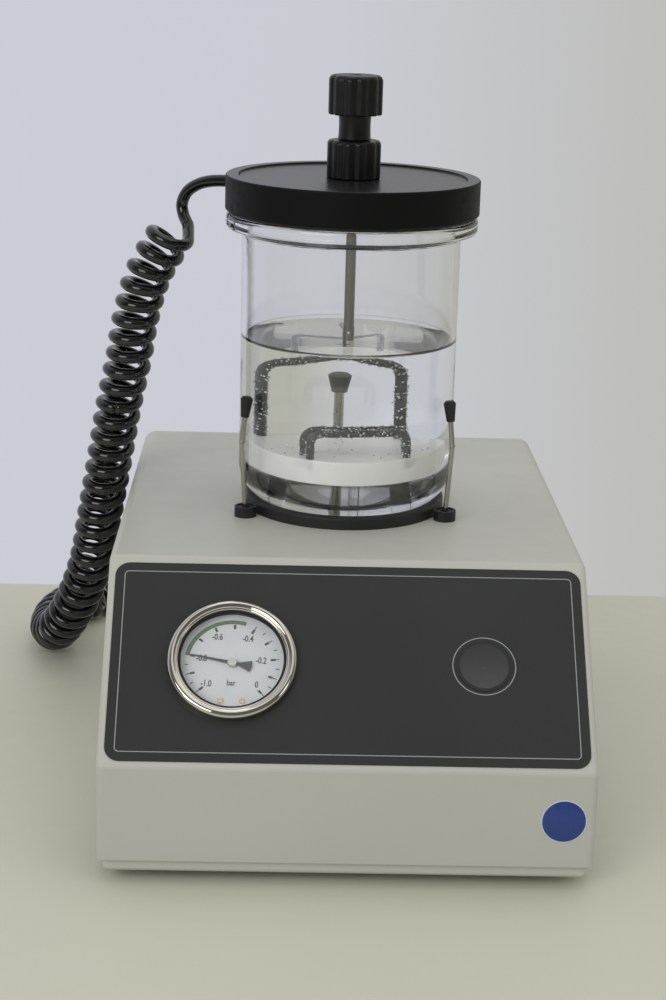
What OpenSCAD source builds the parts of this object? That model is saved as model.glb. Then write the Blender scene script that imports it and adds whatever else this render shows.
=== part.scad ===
// Vacuum bench tester for watches: a housing with a sloping control face, a glass jar of water
// held by three sprung posts, a lid with a sliding rod, and a curly hose from the lid to the back.
// Millimetres. The origin lies on the table, under the middle of the housing and its hose fitting.
// X is to the right, -Y is the front and Z is up.

/* [Housing] */
// Width of the housing
housing_w = 260; // [250:1:280]
// Depth of the housing from its front to its back
housing_d = 371; // [365:1:390]
// Height of the case top above the table
top_z = 152; // [148:1:160]
// Height of the rubber feet
foot_h = 6; // [5:0.5:8]
// Radius of the rubber feet
foot_r = 10; // [8:0.5:12]
// Visible height of the base tray
lip_h = 8; // [6:0.5:10]
// How far the tray's walls reach up inside the cover
tray_overlap = 14; // [12:0.5:18]
// How far the tray stands in from the cover
tray_inset = 3; // [2.8:0.1:4]
// Wall of the cover
cover_wall = 2.5; // [2:0.1:2.7]
// Wall and floor of the base tray
tray_wall = 2; // [1.5:0.1:2.5]
// Radius of the cover's front, side and slope edges
edge_r = 4; // [3.5:0.5:5]
// Radius of the cover's back corners
back_r = 8; // [6:0.5:10]
// Angle of the control slope from level
slope_deg = 43.5; // [41:0.5:46]
// Length of the control slope between its sharp corners
slope_len = 124.25; // [120:0.25:130]

/* [Control panel] */
// Thickness of the panel foil
foil_t = 0.5; // [0.3:0.1:0.8]
// Radius of the foil's corners
foil_r = 8; // [5:0.5:12]
// Bare slope above the foil
foil_top_gap = 5; // [4.5:0.25:7]
// Bare slope below the foil
foil_bottom_gap = 3.25; // [2.75:0.25:5]
// Distance down the slope to the middle of the gauge and the button
controls_v = 63.5; // [60:0.5:66]
// Distance of the gauge to the left of the middle
gauge_x = 61.5; // [55:0.5:68]
// Distance of the button to the right of the middle
button_x = 72; // [60:0.5:80]

/* [Gauge] */
// Radius of the gauge's bezel
bezel_r = 34.5; // [33.5:0.1:36]
// Radius of the gauge's window
window_r = 28.5; // [27:0.1:29]
// Height of the bezel above the foil
bezel_h = 5.5; // [5.2:0.1:6.5]
// Radius of the gauge's cup behind the panel
gauge_cup_r = 30.5; // [30:0.1:31.5]
// Depth of the gauge's cup behind the foil's face
gauge_depth = 30; // [28:0.5:36]
// Distance of the dial below the foil's face
dial_drop = 2.4; // [2:0.1:3]
// Length of the needle from its axis
needle_len = 24; // [20:0.5:26]
// Direction of the needle at rest, anticlockwise from the right
needle_rest = 168.5; // [150:0.5:210]
// Radius of the gauge's hose barb
gauge_barb_r = 2.6; // [2.2:0.1:3]

/* [Push button] */
// Radius of the button's cap
cap_r = 13; // [11:0.1:14]
// Wall of the button's cup
button_wall = 0.8; // [0.7:0.05:1.2]
// Depth of the hollow in the cap
cap_dish = 1.2; // [0.6:0.1:1.6]
// Travel of the button
button_travel = 1.5; // [1:0.1:2]

/* [Jar and posts] */
// Distance of the jar's axis behind the top of the slope
jar_back = 112.4; // [100:0.2:120]
// Outer radius of the glass jar
jar_r = 63; // [60:0.5:66]
// Wall of the glass jar
jar_wall = 3; // [2.5:0.1:4]
// Radius of the jar's bottom corner
jar_corner_r = 22; // [20:0.5:24]
// Height of the jar from its bottom to its rim
jar_h = 169.2; // [160:0.2:180]
// Height of the jar's bottom above the case top
jar_lift = 3; // [2:0.1:4]
// Width of the jar's flange
flange_w = 9.5; // [8:0.1:13]
// Thickness of the jar's flange at its edge
flange_t = 8; // [6:0.5:10]
// How far the rubber ring stands in under the jar
ring_in = 4; // [3:0.5:6.5]
// Height of the rubber ring
ring_h = 7; // [5:0.5:9]
// Radius of the posts' wire
post_wire_r = 1.5; // [1:0.1:2]
// Height of the posts' bend above the case top
post_bend_h = 44.5; // [38:0.5:48]
// Height of the posts above the case top
post_h = 71; // [66:0.5:78]
// How far the posts' bend stands out from their foot
post_out = 3; // [2:0.1:4]
// Radius of the posts' collars
collar_r = 6.4; // [5:0.1:7]
// Height of the posts' collars
collar_h = 6; // [4:0.5:8]
// Largest radius of the posts' tips
post_tip_r = 3.65; // [3:0.05:4]
// Length of the posts' tips
post_tip_h = 12; // [10:0.5:16]

/* [Holder] */
// Radius of the holder's plate
plate_r = 43.7; // [42:0.1:46]
// Thickness of the holder's plate
plate_t = 14; // [10:0.5:16]
// Height of the plate's legs
plate_leg_h = 15.7; // [12:0.1:20]
// Turn of the holder in the jar
holder_turn = 10; // [0:1:30]
// Radius of the cradle's wires
cradle_wire_r = 2.1; // [1.5:0.1:2.6]
// Half the width of a cradle wire
cradle_half = 25; // [20:0.5:25.5]
// Half the distance between the two cradle wires
cradle_gap = 5.8; // [4:0.1:6.5]
// Distance of the cradle in front of the middle of the plate
cradle_ahead = 26; // [20:0.5:26.5]
// Height of the cradle wires above the plate
cradle_h = 17; // [12:0.5:20]
// Radius of the bail's wire
bail_wire_r = 2.15; // [1.5:0.05:2.6]
// Half the width of the bail
bail_half = 26.5; // [22:0.5:27]
// Height of the bail's corners above the plate
bail_h = 46; // [38:0.5:46.5]
// Distance of the bail's legs behind the middle of the plate
bail_back = 31; // [28:0.5:31]
// How far the bail's peak stands in front of its legs
bail_reach = 24; // [14:0.5:24.5]
// Height of the bail's peak above its corners
bail_rise = 11; // [4:0.5:12]

/* [Lid] */
// How far the lid stands out over the jar's flange
lid_over = 0.5; // [0:0.1:3]
// Thickness of the lid
lid_t = 20; // [18:0.5:24]
// Width of the lid's raised rim
rim_w = 7.3; // [5:0.1:9]
// Depth of the lid's recess inside the rim
rim_h = 1.2; // [0.8:0.1:2]
// Thickness of the lid's gasket
gasket_t = 1.5; // [1:0.1:2]
// Radius of the sliding rod
rod_r = 3; // [2.5:0.1:4]
// Length of the rod below the lid's underside
rod_drop = 78.6; // [70:0.2:90]
// Length of the rod's tip
rod_tip_h = 10.6; // [8:0.2:14]
// Radius of the two fluted knobs
knob_r = 15.6; // [14:0.1:18]
// Height of the gland nut
nut_h = 21.5; // [19:0.5:26]
// Height of the rod's knob
knob_h = 22; // [18:0.5:26]
// Radius of the rod knob's neck
neck_r = 9.25; // [8:0.05:11]
// Height of the rod knob's neck
neck_h = 14; // [10:0.5:18]
// Flutes round a knob
flutes = 12; // [8:1:16]

/* [Hose] */
// Radius of the hose
hose_r = 3.6; // [3:0.1:3.7]
// Radius of the hose's curls at the middle of the tube
curl_r = 10.9; // [10:0.1:11]
// Number of whole curls
curls = 38; // [34:1:39]

/* [Hidden] */
$fn = 64;
hull_fn = 32;

// Clearances: between parts that are screwed or pressed together, between a part that moves and
// its guide, and between parts that only stand near each other
seat_gap = 0.05;
run_gap = 0.05;
near_gap = 0.3;

// The housing
slope_c = cos(slope_deg);
slope_s = sin(slope_deg);
rear_reach = 18;
front_y = -(housing_d + rear_reach) / 2;
back_y = front_y + housing_d;
slope_top_y = front_y + slope_len * slope_c;
slope_bottom_z = top_z - slope_len * slope_s;
cover_z = foot_h + lip_h;
tray_floor_z = foot_h + tray_wall;
tray_x = housing_w / 2 - tray_inset;
tray_front = front_y + tray_inset;
tray_back = back_y - tray_inset;
tray_top = cover_z + tray_overlap;
inner_back_y = back_y - cover_wall;
foot_x = housing_w / 2 - 25;
foot_front = front_y + 29.5;
foot_back = back_y - 26.5;
screw_r = 2;
screw_z = cover_z + tray_overlap / 2;
screw_inset = 45;

// The panel
foil_w = housing_w - 2 * edge_r;
foil_len = slope_len - foil_top_gap - foil_bottom_gap;
flange_top = foil_t + 1.5;
glass_t = 1.15;
glass_r = window_r + 2.5;
glass_z = flange_top + seat_gap;
panel_hole_r = gauge_cup_r + 0.7;
flange_hole_r = window_r + 1;
dial_t = 0.8;
dial_r = gauge_cup_r - 1.5;
cup_wall = 1;
stud_x = 20;
stud_r = 2;
clamp_t = 2;
clamp_leg_x = gauge_cup_r + 5.5;
nut_t = 4;
arbor_r = 0.8;
screw_spot = [5.7, -21.4];
port_y = -14;
movement_z = -gauge_depth + cup_wall;

// The push button
bush_r = cap_r + run_gap + button_wall;
bush_depth = 14;
bush_floor = 6;
stem_r = 3;
cap_t = 4.2;
stem_end = -bush_depth - 2;
plunger_r = 1.5;
switch_top = stem_end - button_travel - 0.7;
switch_w = 14;
switch_h = 9;

// The jar, its posts and the holder in it
jar_y = slope_top_y + jar_back;
jar_z = top_z + jar_lift;
jar_top = jar_z + jar_h;
jar_floor = 4;
jar_in_r = jar_r - jar_wall;
flange_r = jar_r + flange_w;
ring_r = jar_r - ring_in;
post_r = jar_r + near_gap + post_tip_r;
post_turns = [90, 210, 330];
collar_seat = 2;
plate_z = jar_z + jar_floor + near_gap + plate_leg_h;
plate_top = plate_z + plate_t;
wire_seat = 6;
wire_bend = 6;

// The lid and the sliding rod
lid_r = flange_r + lid_over;
lid_z = jar_top + near_gap + gasket_t;
lid_top = lid_z + lid_t - rim_h;
spigot_h = 3;
spigot_r = jar_in_r - 0.8;
lid_port_z = lid_z + lid_t / 2;
lid_port_turn = 150;
lid_port_r = 50;
lid_stem_len = 13;
lid_nose = 2;
air_r = 2;
gland_r = 8;
gland_h = nut_h - 4.3;
gland_drop = spigot_h + 5;
seal_r = rod_r + 2.2;
seal_h = 4;
nut_top = lid_top + nut_h;
neck_z = nut_top + near_gap;
knob_z = neck_z + neck_h;
rod_end = lid_z - rod_drop;
rod_hole_r = 1;
rod_stud_r = rod_r / 2;
flute_r = 3;

// The hose. Its curls run along an axis given by points chosen by hand, down to the table behind
// the housing, and straight pieces lead from them to the lid's fitting and to the back's.
hose_d = 2 * hose_r;
curl_start = -60;
last_curl = 240;
curl_side = [1, -0.9, -0.2];
rings_per_curl = 8;
coil_z = curl_r + hose_r + near_gap;
coil_axis = [[-105, 41, 306], [-119, 46, 281], [-127, 51, 254], [-132, 56, 226], [-138, 61, 198],
  [-143, 67, 170], [-148, 73, 142], [-153, 81, 115], [-158, 90, 88], [-166, 101, 62.5],
  [-176, 115, 39.5], [-186, 134, 22.5], [-193, 160, coil_z + 0.5], [-192, 188, coil_z],
  [-181, 213, coil_z], [-160, 231, coil_z]];
top_route = [[-82, 55, 335], [-90, 60, 332.5], [-97, 64, 327.5], [-100.5, 66, 320], [-99.5, 64, 313]];
rear_route = [[-161, 239, 40.5], [-154, 239, 49], [-143, 238, 58], [-132, 237, 66.5], [-121.5, 236, 72.5],
  [-110.5, 235, 75], [-100, 234, 76], [-88, 231.5, 76], [-74.5, 225.5, 75.5], [-64, 215.5, 75]];
lead_sides = 8;
coil_sides = 6;

// The back
hose_port_x = 70 - housing_w / 2;
hose_port_z = 75;
port_stem_r = hose_r + 2;
port_stem_len = 16.5;
inlet_x = housing_w / 2 - 60;
inlet_z = 60;
inlet_w = 28;
inlet_h = 20.5;
inlet_depth = 20;
pin_depth = 16;
rocker_x = inlet_x - 45;
rocker_w = 13.5;
rocker_h = 19.5;
rocker_tilt = 10;
rocker_pin_r = 1.2;

// The power board, in front of the pump
board_x = inlet_x - 50;
board_w = 90;
board_d = 70;
board_t = 1.6;
board_z = tray_floor_z + 8;
board_screw_r = 1.5;
board_ahead = 115;

// The pump and the air line
pump_x = inlet_x - 5;
pump_axis_z = tray_floor_z + 43;
crank_y = back_y - 151.5;
crank_d = 35;
crank_w = 40;
saddle_w = 30;
pump_plate_w = 80;
board_y = crank_y - board_ahead;
motor_y = crank_y + crank_d;
motor_d = 60;
motor_r = 26;
shaft_r = 4;
eccentric_r = 8;
throw = 3;
big_end_r = eccentric_r + throw + near_gap;
crank_z = tray_floor_z + 15;
crank_mid_y = crank_y + crank_d / 2;
case_top_z = pump_axis_z + 24;
diaphragm_t = 2;
head_z = case_top_z + diaphragm_t;
head_h = 15;
head_r = 17;
nipple_h = 12;
nipple_x = 8;
mount_h = 12;
mount_nub_r = 3;
plate_sheet = crank_z - tray_floor_z - mount_h;
manifold_y = back_y - 66.5;
manifold_w = 60;
valve_w = 28;
valve_gap = 7;
manifold_x = tray_wall - tray_x + valve_gap + valve_w + manifold_w / 2;
manifold_s = 16;
manifold_z = tray_floor_z + manifold_s / 2;
tube_r = 3;
tube_top_z = 116;
port_h = 6;
port_bore = 1.2;
pump_port_x = manifold_x + 20;
gauge_port_len = 20;

// Places children at x, and v down the slope, with +Z out of the slope
module on_slope(x, v) {
  translate([x, slope_top_y - v * slope_c, top_z - v * slope_s])
    rotate([slope_deg, 0, 0])
      children();
}

// Places children on the gauge's axis at the slope's face
module at_gauge() {
  on_slope(-gauge_x, controls_v) children();
}

// Places children on the button's axis at the slope's face
module at_button() {
  on_slope(button_x, controls_v) children();
}

// Places children on the jar's axis
module at_jar() {
  translate([0, jar_y, 0]) children();
}

// Places children at the three posts, with +X pointing away from the jar
module at_posts() {
  at_jar()
    for (a = post_turns)
      rotate(a) translate([post_r, 0, top_z]) children();
}

// A rectangle about the origin with true round corners
module round_rect(w, h, r) {
  square([w - 2 * r, h], center = true);
  square([w, h - 2 * r], center = true);
  for (x = [-1, 1], y = [-1, 1])
    translate([x * (w / 2 - r), y * (h / 2 - r)]) circle(r = r);
}

// A tube on Z
module ring(r_out, r_in, h) {
  difference() {
    cylinder(r = r_out, h = h);
    translate([0, 0, -1]) cylinder(r = r_in, h = h + 2);
  }
}

// A hexagon nut on Z
module hex_nut(r, bore, h) {
  difference() {
    cylinder(r = r, h = h, $fn = 6);
    translate([0, 0, -1]) cylinder(r = bore, h = h + 2);
  }
}

// The cover's shape, drawn in by less on every side, with its bottom lowered by drop
module cover_shape(less, drop) {
  front_r = edge_r - less;
  rear_r = back_r - less;
  x_front = housing_w / 2 - edge_r;
  x_rear = housing_w / 2 - back_r;
  y_rear = back_y - back_r;
  hull()
    for (s = [-1, 1]) {
      translate([s * x_front, front_y + edge_r, cover_z - drop])
        cylinder(r = front_r, h = 1, $fn = hull_fn);
      translate([s * x_rear, y_rear, cover_z - drop])
        cylinder(r = rear_r, h = 1, $fn = hull_fn);
      translate([s * x_front, front_y + edge_r, slope_bottom_z - edge_r * (1 - slope_s) / slope_c])
        sphere(r = front_r, $fn = hull_fn);
      translate([s * x_front, slope_top_y + edge_r * (1 - slope_c) / slope_s, top_z - edge_r])
        sphere(r = front_r, $fn = hull_fn);
      translate([s * x_rear, y_rear, top_z - back_r])
        sphere(r = rear_r, $fn = hull_fn);
    }
}

// Places children at the four side screws, with +Z pointing out of the housing
module at_cover_screws() {
  for (s = [-1, 1], y = [front_y + screw_inset, back_y - screw_inset])
    translate([s * housing_w / 2, y, screw_z])
      rotate([0, s * 90, 0])
        children();
}

module countersunk_screw(extra, length) {
  r = screw_r + extra;
  translate([0, 0, -length]) cylinder(r = r, h = length);
  translate([0, 0, -screw_r - extra]) cylinder(r1 = r, r2 = 2 * screw_r + extra, h = screw_r + extra);
}

module housing_cover() {
  color([0.80, 0.80, 0.76])
    difference() {
      cover_shape(0, 0);
      cover_shape(cover_wall, 2);
      at_gauge() translate([0, 0, -10]) cylinder(r = panel_hole_r, h = 20);
      at_button() translate([0, 0, -10]) cylinder(r = bush_r + seat_gap, h = 20);
      at_posts() translate([0, 0, -10]) cylinder(r = post_wire_r + seat_gap, h = 20);
      at_cover_screws() countersunk_screw(seat_gap, 10);
      translate([hose_port_x, back_y - 10, hose_port_z])
        rotate([-90, 0, 0])
          cylinder(r = port_stem_r + seat_gap, h = 20);
      translate([inlet_x, back_y, inlet_z]) cube([inlet_w, 20, inlet_h], center = true);
      translate([rocker_x, back_y, inlet_z]) cube([rocker_w, 20, rocker_h], center = true);
      for (i = [0 : 5])
        translate([hose_port_x - 30 + i * 9, back_y - 10, 100]) cube([4, 20, 28]);
    }
}

module base_tray() {
  rear_r = back_r - tray_inset;
  color([0.72, 0.72, 0.68]) {
    difference() {
      hull()
        for (s = [-1, 1], corner = [[tray_inset, tray_front + tray_inset],
          [rear_r, tray_back - rear_r]]) {
          r = corner[0];
          translate([s * (tray_x - r), corner[1], foot_h + r]) sphere(r = r, $fn = hull_fn);
          translate([s * (tray_x - r), corner[1], tray_top - 1]) cylinder(r = r, h = 1, $fn = hull_fn);
        }
      translate([0, (tray_front + tray_back) / 2, tray_floor_z])
        linear_extrude(60)
          round_rect(2 * (tray_x - tray_wall), tray_back - tray_front - 2 * tray_wall, tray_inset);
      at_feet() translate([0, 0, foot_h - 1]) cylinder(r = 3 + seat_gap, h = 10);
      at_mounts() translate([0, 0, foot_h - 1]) cylinder(r = mount_nub_r + seat_gap, h = 10);
      at_cover_screws() countersunk_screw(seat_gap, 12);
      for (i = [0 : 5])
        translate([-45 + i * 12, -60, 0]) cube([5, 50, tray_floor_z + 1]);
    }
    at_board() translate([0, 0, tray_floor_z - 0.5]) ring(3, board_screw_r, board_z - tray_floor_z + 0.5);
  }
}

module at_feet() {
  for (s = [-1, 1], y = [foot_front, foot_back])
    translate([s * foot_x, y, 0]) children();
}

module rubber_feet() {
  color([0.1, 0.1, 0.1])
    at_feet() {
      cylinder(r1 = foot_r - 2, r2 = foot_r, h = foot_h);
      cylinder(r = 3, h = tray_floor_z + 2);
      translate([0, 0, tray_floor_z]) cylinder(r = 5, h = 2);
    }
}

module cover_screws() {
  color([0.7, 0.7, 0.7])
    at_cover_screws()
      difference() {
        countersunk_screw(0, 10);
        translate([0, 0, -1]) cylinder(r = 1.3, h = 2, $fn = 6);
      }
}

module panel_foil() {
  color([0.22, 0.23, 0.23])
    difference() {
      on_slope(0, foil_top_gap + foil_len / 2)
        linear_extrude(foil_t)
          round_rect(foil_w, foil_len, foil_r);
      at_gauge() translate([0, 0, -1]) cylinder(r = panel_hole_r, h = 3);
      at_button() translate([0, 0, -1]) cylinder(r = bush_r + seat_gap, h = 3);
    }
}

// The gauge, built about its own axis with z = 0 at the slope's face
module gauge_case() {
  color([0.75, 0.75, 0.75])
    at_gauge()
      difference() {
        union() {
          translate([0, 0, -gauge_depth]) cylinder(r = gauge_cup_r, h = gauge_depth + flange_top);
          translate([0, 0, foil_t]) cylinder(r = bezel_r - 1, h = flange_top - foil_t);
          for (s = [-1, 1])
            translate([s * stud_x, 0, -gauge_depth - 12]) cylinder(r = stud_r, h = 13);
        }
        translate([0, 0, movement_z]) cylinder(r = gauge_cup_r - cup_wall, h = gauge_depth);
        cylinder(r = flange_hole_r, h = 10);
        translate([0, port_y, -gauge_depth - 1]) cylinder(r = 5 + seat_gap, h = 5);
      }
}

module gauge_bezel() {
  inner = bezel_r - 1 + seat_gap;
  crest = bezel_h + foil_t;
  glass_top = glass_z + glass_t + seat_gap;
  color([0.85, 0.85, 0.85])
    at_gauge()
      rotate_extrude($fn = 96)
        difference() {
          union() {
            translate([window_r, glass_top]) square([bezel_r - window_r, 0.4]);
            translate([inner - 2, foil_t]) square([bezel_r - inner + 2, crest - 2.6 - foil_t]);
            translate([bezel_r - 2.6, crest - 2.6]) circle(r = 2.6);
            translate([window_r + 1.2, glass_top + 0.5]) circle(r = 1.2);
          }
          square([inner, flange_top + seat_gap]);
          square([glass_r + seat_gap, glass_top]);
          square([window_r, 20]);
        }
}

module gauge_glass() {
  color([0.9, 0.95, 0.95, 0.3])
    at_gauge()
      translate([0, 0, glass_z]) cylinder(r = glass_r, h = glass_t);
}

module gauge_dial() {
  color([0.92, 0.92, 0.9])
    at_gauge()
      translate([0, 0, -dial_drop - dial_t])
        difference() {
          cylinder(r = dial_r, h = dial_t);
          translate([0, 0, -1]) cylinder(r = arbor_r + 0.6, h = 3);
          for (s = [-1, 1])
            translate([s * screw_spot[0], screw_spot[1], -1]) cylinder(r = 1 + seat_gap, h = 3);
        }
}

module dial_screws() {
  color([0.7, 0.7, 0.65])
    at_gauge()
      for (s = [-1, 1])
        translate([s * screw_spot[0], screw_spot[1], -dial_drop]) {
          difference() {
            cylinder(r = 1.65, h = 0.8);
            translate([-2, -0.25, 0.45]) cube([4, 0.5, 1]);
          }
          translate([0, 0, -4]) cylinder(r = 1, h = 4.1);
        }
}

module gauge_movement() {
  top = -dial_drop - dial_t;
  color([0.8, 0.65, 0.3])
    at_gauge()
      difference() {
        union() {
          translate([-10, -9, top - 12]) cube([20, 18, 2]);
          translate([-10, -9, top - 5]) cube([20, 18, 2]);
          for (x = [-8, 8], y = [-7, 7])
            translate([x, y, top - 11]) cylinder(r = 1.5, h = 8);
          translate([-3, -18, movement_z]) cube([6, 9.5, top - 12 - movement_z + 2]);
          translate([-6, -22, top - 13]) cube([6, 5, 7]);
          translate([-10, -25, top - 5]) cube([20, 8, 5]);
          translate([-4, -18, top - 5]) cube([8, 10, 2]);
        }
        translate([0, 0, top - 13]) cylinder(r = arbor_r + run_gap, h = 12);
        for (s = [-1, 1])
          translate([s * screw_spot[0], screw_spot[1], -12]) cylinder(r = 1 + seat_gap, h = 12);
        translate([0, port_y, movement_z - 1]) cylinder(r = 1, h = 6);
      }
}

module gauge_bourdon() {
  color([0.75, 0.6, 0.25])
    at_gauge()
      translate([0, 0, -dial_drop - dial_t - 13])
        rotate([0, 0, -90])
          rotate_extrude(angle = 250)
            translate([19, 0]) square([2.4, 7]);
}

module gauge_needle() {
  color([0.08, 0.08, 0.08])
    at_gauge()
      rotate(needle_rest)
        translate([0, 0, -dial_drop + 0.9])
          linear_extrude(0.5)
            difference() {
              union() {
                polygon([[0, 0.9], [needle_len - 3, 0.35], [needle_len, 0], [needle_len - 3, -0.35],
                  [0, -0.9]]);
                polygon([[0, 0.8], [-4, 1], [-10, 3.2], [-10.6, 0], [-10, -3.2], [-4, -1], [0, -0.8]]);
              }
              circle(r = 2);
            }
}

module needle_hub() {
  color([0.8, 0.8, 0.78])
    at_gauge() {
      translate([0, 0, -dial_drop + 0.3]) cylinder(r = 2, h = 1.1);
      translate([0, 0, -dial_drop + 1.4]) cylinder(r1 = 2.7, r2 = 2.3, h = 1.2);
      translate([0, 0, -dial_drop - dial_t - 12.6]) cylinder(r = arbor_r, h = dial_t + 13);
    }
}

module gauge_clamp() {
  leg_top = -cover_wall;
  bar_z = -gauge_depth - clamp_t - seat_gap;
  color([0.65, 0.65, 0.65])
    at_gauge()
      difference() {
        union() {
          translate([-clamp_leg_x, -6, bar_z]) cube([2 * clamp_leg_x, 12, clamp_t]);
          for (s = [-1, 1])
            translate([s * (clamp_leg_x - clamp_t / 2) - clamp_t / 2, -6, bar_z])
              cube([clamp_t, 12, leg_top - bar_z]);
        }
        for (s = [-1, 1])
          translate([s * stud_x, 0, bar_z - 1]) cylinder(r = stud_r + seat_gap, h = 10);
      }
}

module clamp_nuts() {
  color([0.8, 0.7, 0.4])
    at_gauge()
      for (s = [-1, 1])
        translate([s * stud_x, 0, -gauge_depth - clamp_t - seat_gap - nut_t])
          hex_nut(4.6, stud_r + seat_gap, nut_t);
}

module gauge_port() {
  color([0.8, 0.68, 0.35])
    at_gauge()
      translate([0, port_y, 0])
        difference() {
          union() {
            translate([0, 0, -gauge_depth]) cylinder(r = 5, h = cup_wall);
            translate([0, 0, -gauge_depth - 8]) cylinder(r = 7, h = 8, $fn = 6);
            translate([0, 0, -gauge_depth - gauge_port_len]) cylinder(r = gauge_barb_r, h = gauge_port_len);
          }
          translate([0, 0, -gauge_depth - gauge_port_len - 1]) cylinder(r = 1, h = gauge_port_len + 3);
        }
}

// The push button, built about its own axis with z = 0 at the slope's face
module button_cup() {
  leg_x = switch_w / 2 + seat_gap;
  color([0.07, 0.07, 0.07])
    at_button()
      difference() {
        union() {
          translate([0, 0, -bush_depth]) cylinder(r = bush_r, h = bush_depth + foil_t);
          translate([0, 0, foil_t]) cylinder(r = bush_r + 0.9, h = 0.4);
          for (s = [-1, 1])
            translate([s * (leg_x + 0.75) - 0.75, -4, switch_top - switch_h])
              cube([1.5, 8, switch_h - switch_top - bush_depth + 1]);
        }
        translate([0, 0, -bush_depth + bush_floor]) cylinder(r = cap_r + run_gap, h = 30);
        translate([0, 0, -bush_depth - 1]) cylinder(r = stem_r + run_gap, h = 10);
      }
}

module button_cap() {
  dish_r = (cap_r * cap_r + cap_dish * cap_dish) / (2 * cap_dish);
  color([0.16, 0.17, 0.17])
    at_button()
      difference() {
        union() {
          translate([0, 0, foil_t + 0.4 - cap_t]) cylinder(r = cap_r, h = cap_t);
          translate([0, 0, stem_end]) cylinder(r = stem_r, h = foil_t + 0.4 - cap_t - stem_end + 0.5);
        }
        translate([0, 0, foil_t + 0.4 - cap_dish + dish_r]) sphere(r = dish_r + 0.02, $fn = 96);
      }
}

module button_nut() {
  color([0.6, 0.6, 0.6])
    at_button()
      translate([0, 0, -cover_wall - seat_gap - nut_t])
        hex_nut(bush_r + 4.5, bush_r + seat_gap, nut_t);
}

module button_switch() {
  color([0.12, 0.14, 0.3])
    at_button()
      difference() {
        translate([-switch_w / 2, -switch_w / 2, switch_top - switch_h])
          cube([switch_w, switch_w, switch_h]);
        translate([0, 0, switch_top - 6]) cylinder(r = plunger_r + run_gap, h = 10);
      }
}

module switch_plunger() {
  color([0.8, 0.2, 0.15])
    at_button()
      translate([0, 0, switch_top - 3.5])
        cylinder(r = plunger_r, h = stem_end - switch_top + 3.5);
}

// The jar's seat and posts
module jar_ring() {
  inner = ring_r - 12;
  color([0.13, 0.13, 0.13])
    at_jar()
      translate([0, 0, top_z])
        difference() {
          rotate_extrude($fn = 128)
            union() {
              translate([inner, 0]) square([ring_r - inner, ring_h - 1.5]);
              translate([inner, 0]) square([ring_r - inner - 1.5, ring_h]);
              translate([ring_r - 1.5, ring_h - 1.5]) circle(r = 1.5);
            }
          rotate_extrude($fn = 128)
            union() {
              translate([0, jar_lift - near_gap]) square([jar_r - jar_corner_r, 60]);
              translate([jar_r - jar_corner_r, jar_lift + jar_corner_r])
                difference() {
                  circle(r = jar_corner_r + near_gap);
                  translate([-2 * jar_corner_r, -2 * jar_corner_r])
                    square([2 * jar_corner_r, 4 * jar_corner_r]);
                }
            }
        }
}

module post_rods() {
  lean = atan(post_out / post_bend_h);
  back = atan(post_out / (post_h - post_bend_h));
  rise = post_h - post_bend_h - 3;
  shoulder_h = 1.2;
  color([0.75, 0.75, 0.72])
    at_posts() {
      translate([0, 0, -12]) cylinder(r = post_wire_r, h = 12 + shoulder_h / 2);
      cylinder(r = post_wire_r + 0.5, h = shoulder_h);
      rotate([0, lean, 0])
        translate([0, 0, shoulder_h / 2])
          cylinder(r = post_wire_r, h = post_bend_h / cos(lean) - shoulder_h / 2);
      translate([post_out, 0, post_bend_h]) {
        sphere(r = post_wire_r + 0.2);
        rotate([0, -back, 0]) cylinder(r = post_wire_r, h = rise / cos(back));
      }
    }
}

module post_collars() {
  color([0.1, 0.1, 0.1])
    at_posts()
      difference() {
        cylinder(r = collar_r, h = collar_h);
        translate([0, 0, -1]) cylinder(r = post_wire_r + 0.7, h = collar_h + 2);
        translate([0, 0, collar_h - 0.6]) cylinder(r = collar_r - 1.4, h = 2);
      }
}

module post_tips() {
  back = atan(post_out / (post_h - post_bend_h));
  color([0.05, 0.05, 0.05])
    at_posts()
      translate([post_out, 0, post_bend_h])
        rotate([0, -back, 0])
          translate([0, 0, (post_h - post_bend_h) / cos(back) - post_tip_h])
            difference() {
              union() {
                cylinder(r1 = post_tip_r - 1.3, r2 = post_tip_r, h = post_tip_h - 1.5);
                translate([0, 0, post_tip_h - 1.5])
                  cylinder(r1 = post_tip_r, r2 = post_tip_r - 1.2, h = 1.5);
              }
              translate([0, 0, -1]) cylinder(r = post_wire_r + seat_gap, h = post_tip_h - 1.8);
            }
}

module post_nuts() {
  color([0.7, 0.7, 0.7])
    at_posts()
      translate([0, 0, -cover_wall - seat_gap - 3])
        hex_nut(4, post_wire_r + seat_gap, 3);
}

module jar_glass() {
  in_corner = jar_corner_r - jar_wall;
  color([0.85, 0.93, 0.93, 0.3])
    at_jar()
      translate([0, 0, jar_z])
        rotate_extrude($fn = 128)
          difference() {
            union() {
              square([jar_r - jar_corner_r, jar_corner_r]);
              translate([0, jar_corner_r]) square([jar_r, jar_h - jar_corner_r]);
              translate([jar_r - jar_corner_r, jar_corner_r]) circle(r = jar_corner_r);
              translate([jar_r - 1, jar_h - flange_t]) square([flange_r - jar_r + 1, flange_t - 1]);
              translate([jar_r - 1, jar_h - flange_t]) square([flange_r - jar_r, flange_t]);
              translate([flange_r - 1, jar_h - 1]) circle(r = 1);
              polygon([[jar_r - 0.5, jar_h - flange_t - 4.5], [jar_r, jar_h - flange_t - 4],
                [flange_r - 2, jar_h - flange_t], [jar_r - 0.5, jar_h - flange_t + 0.5]]);
            }
            translate([0, jar_floor + in_corner]) square([jar_in_r, jar_h]);
            translate([0, jar_floor]) square([jar_in_r - in_corner, 2 * in_corner]);
            translate([jar_in_r - in_corner, jar_floor + in_corner]) circle(r = in_corner);
            translate([-2 * jar_r, -1]) square([2 * jar_r, jar_h + 2]);
          }
}

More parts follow.
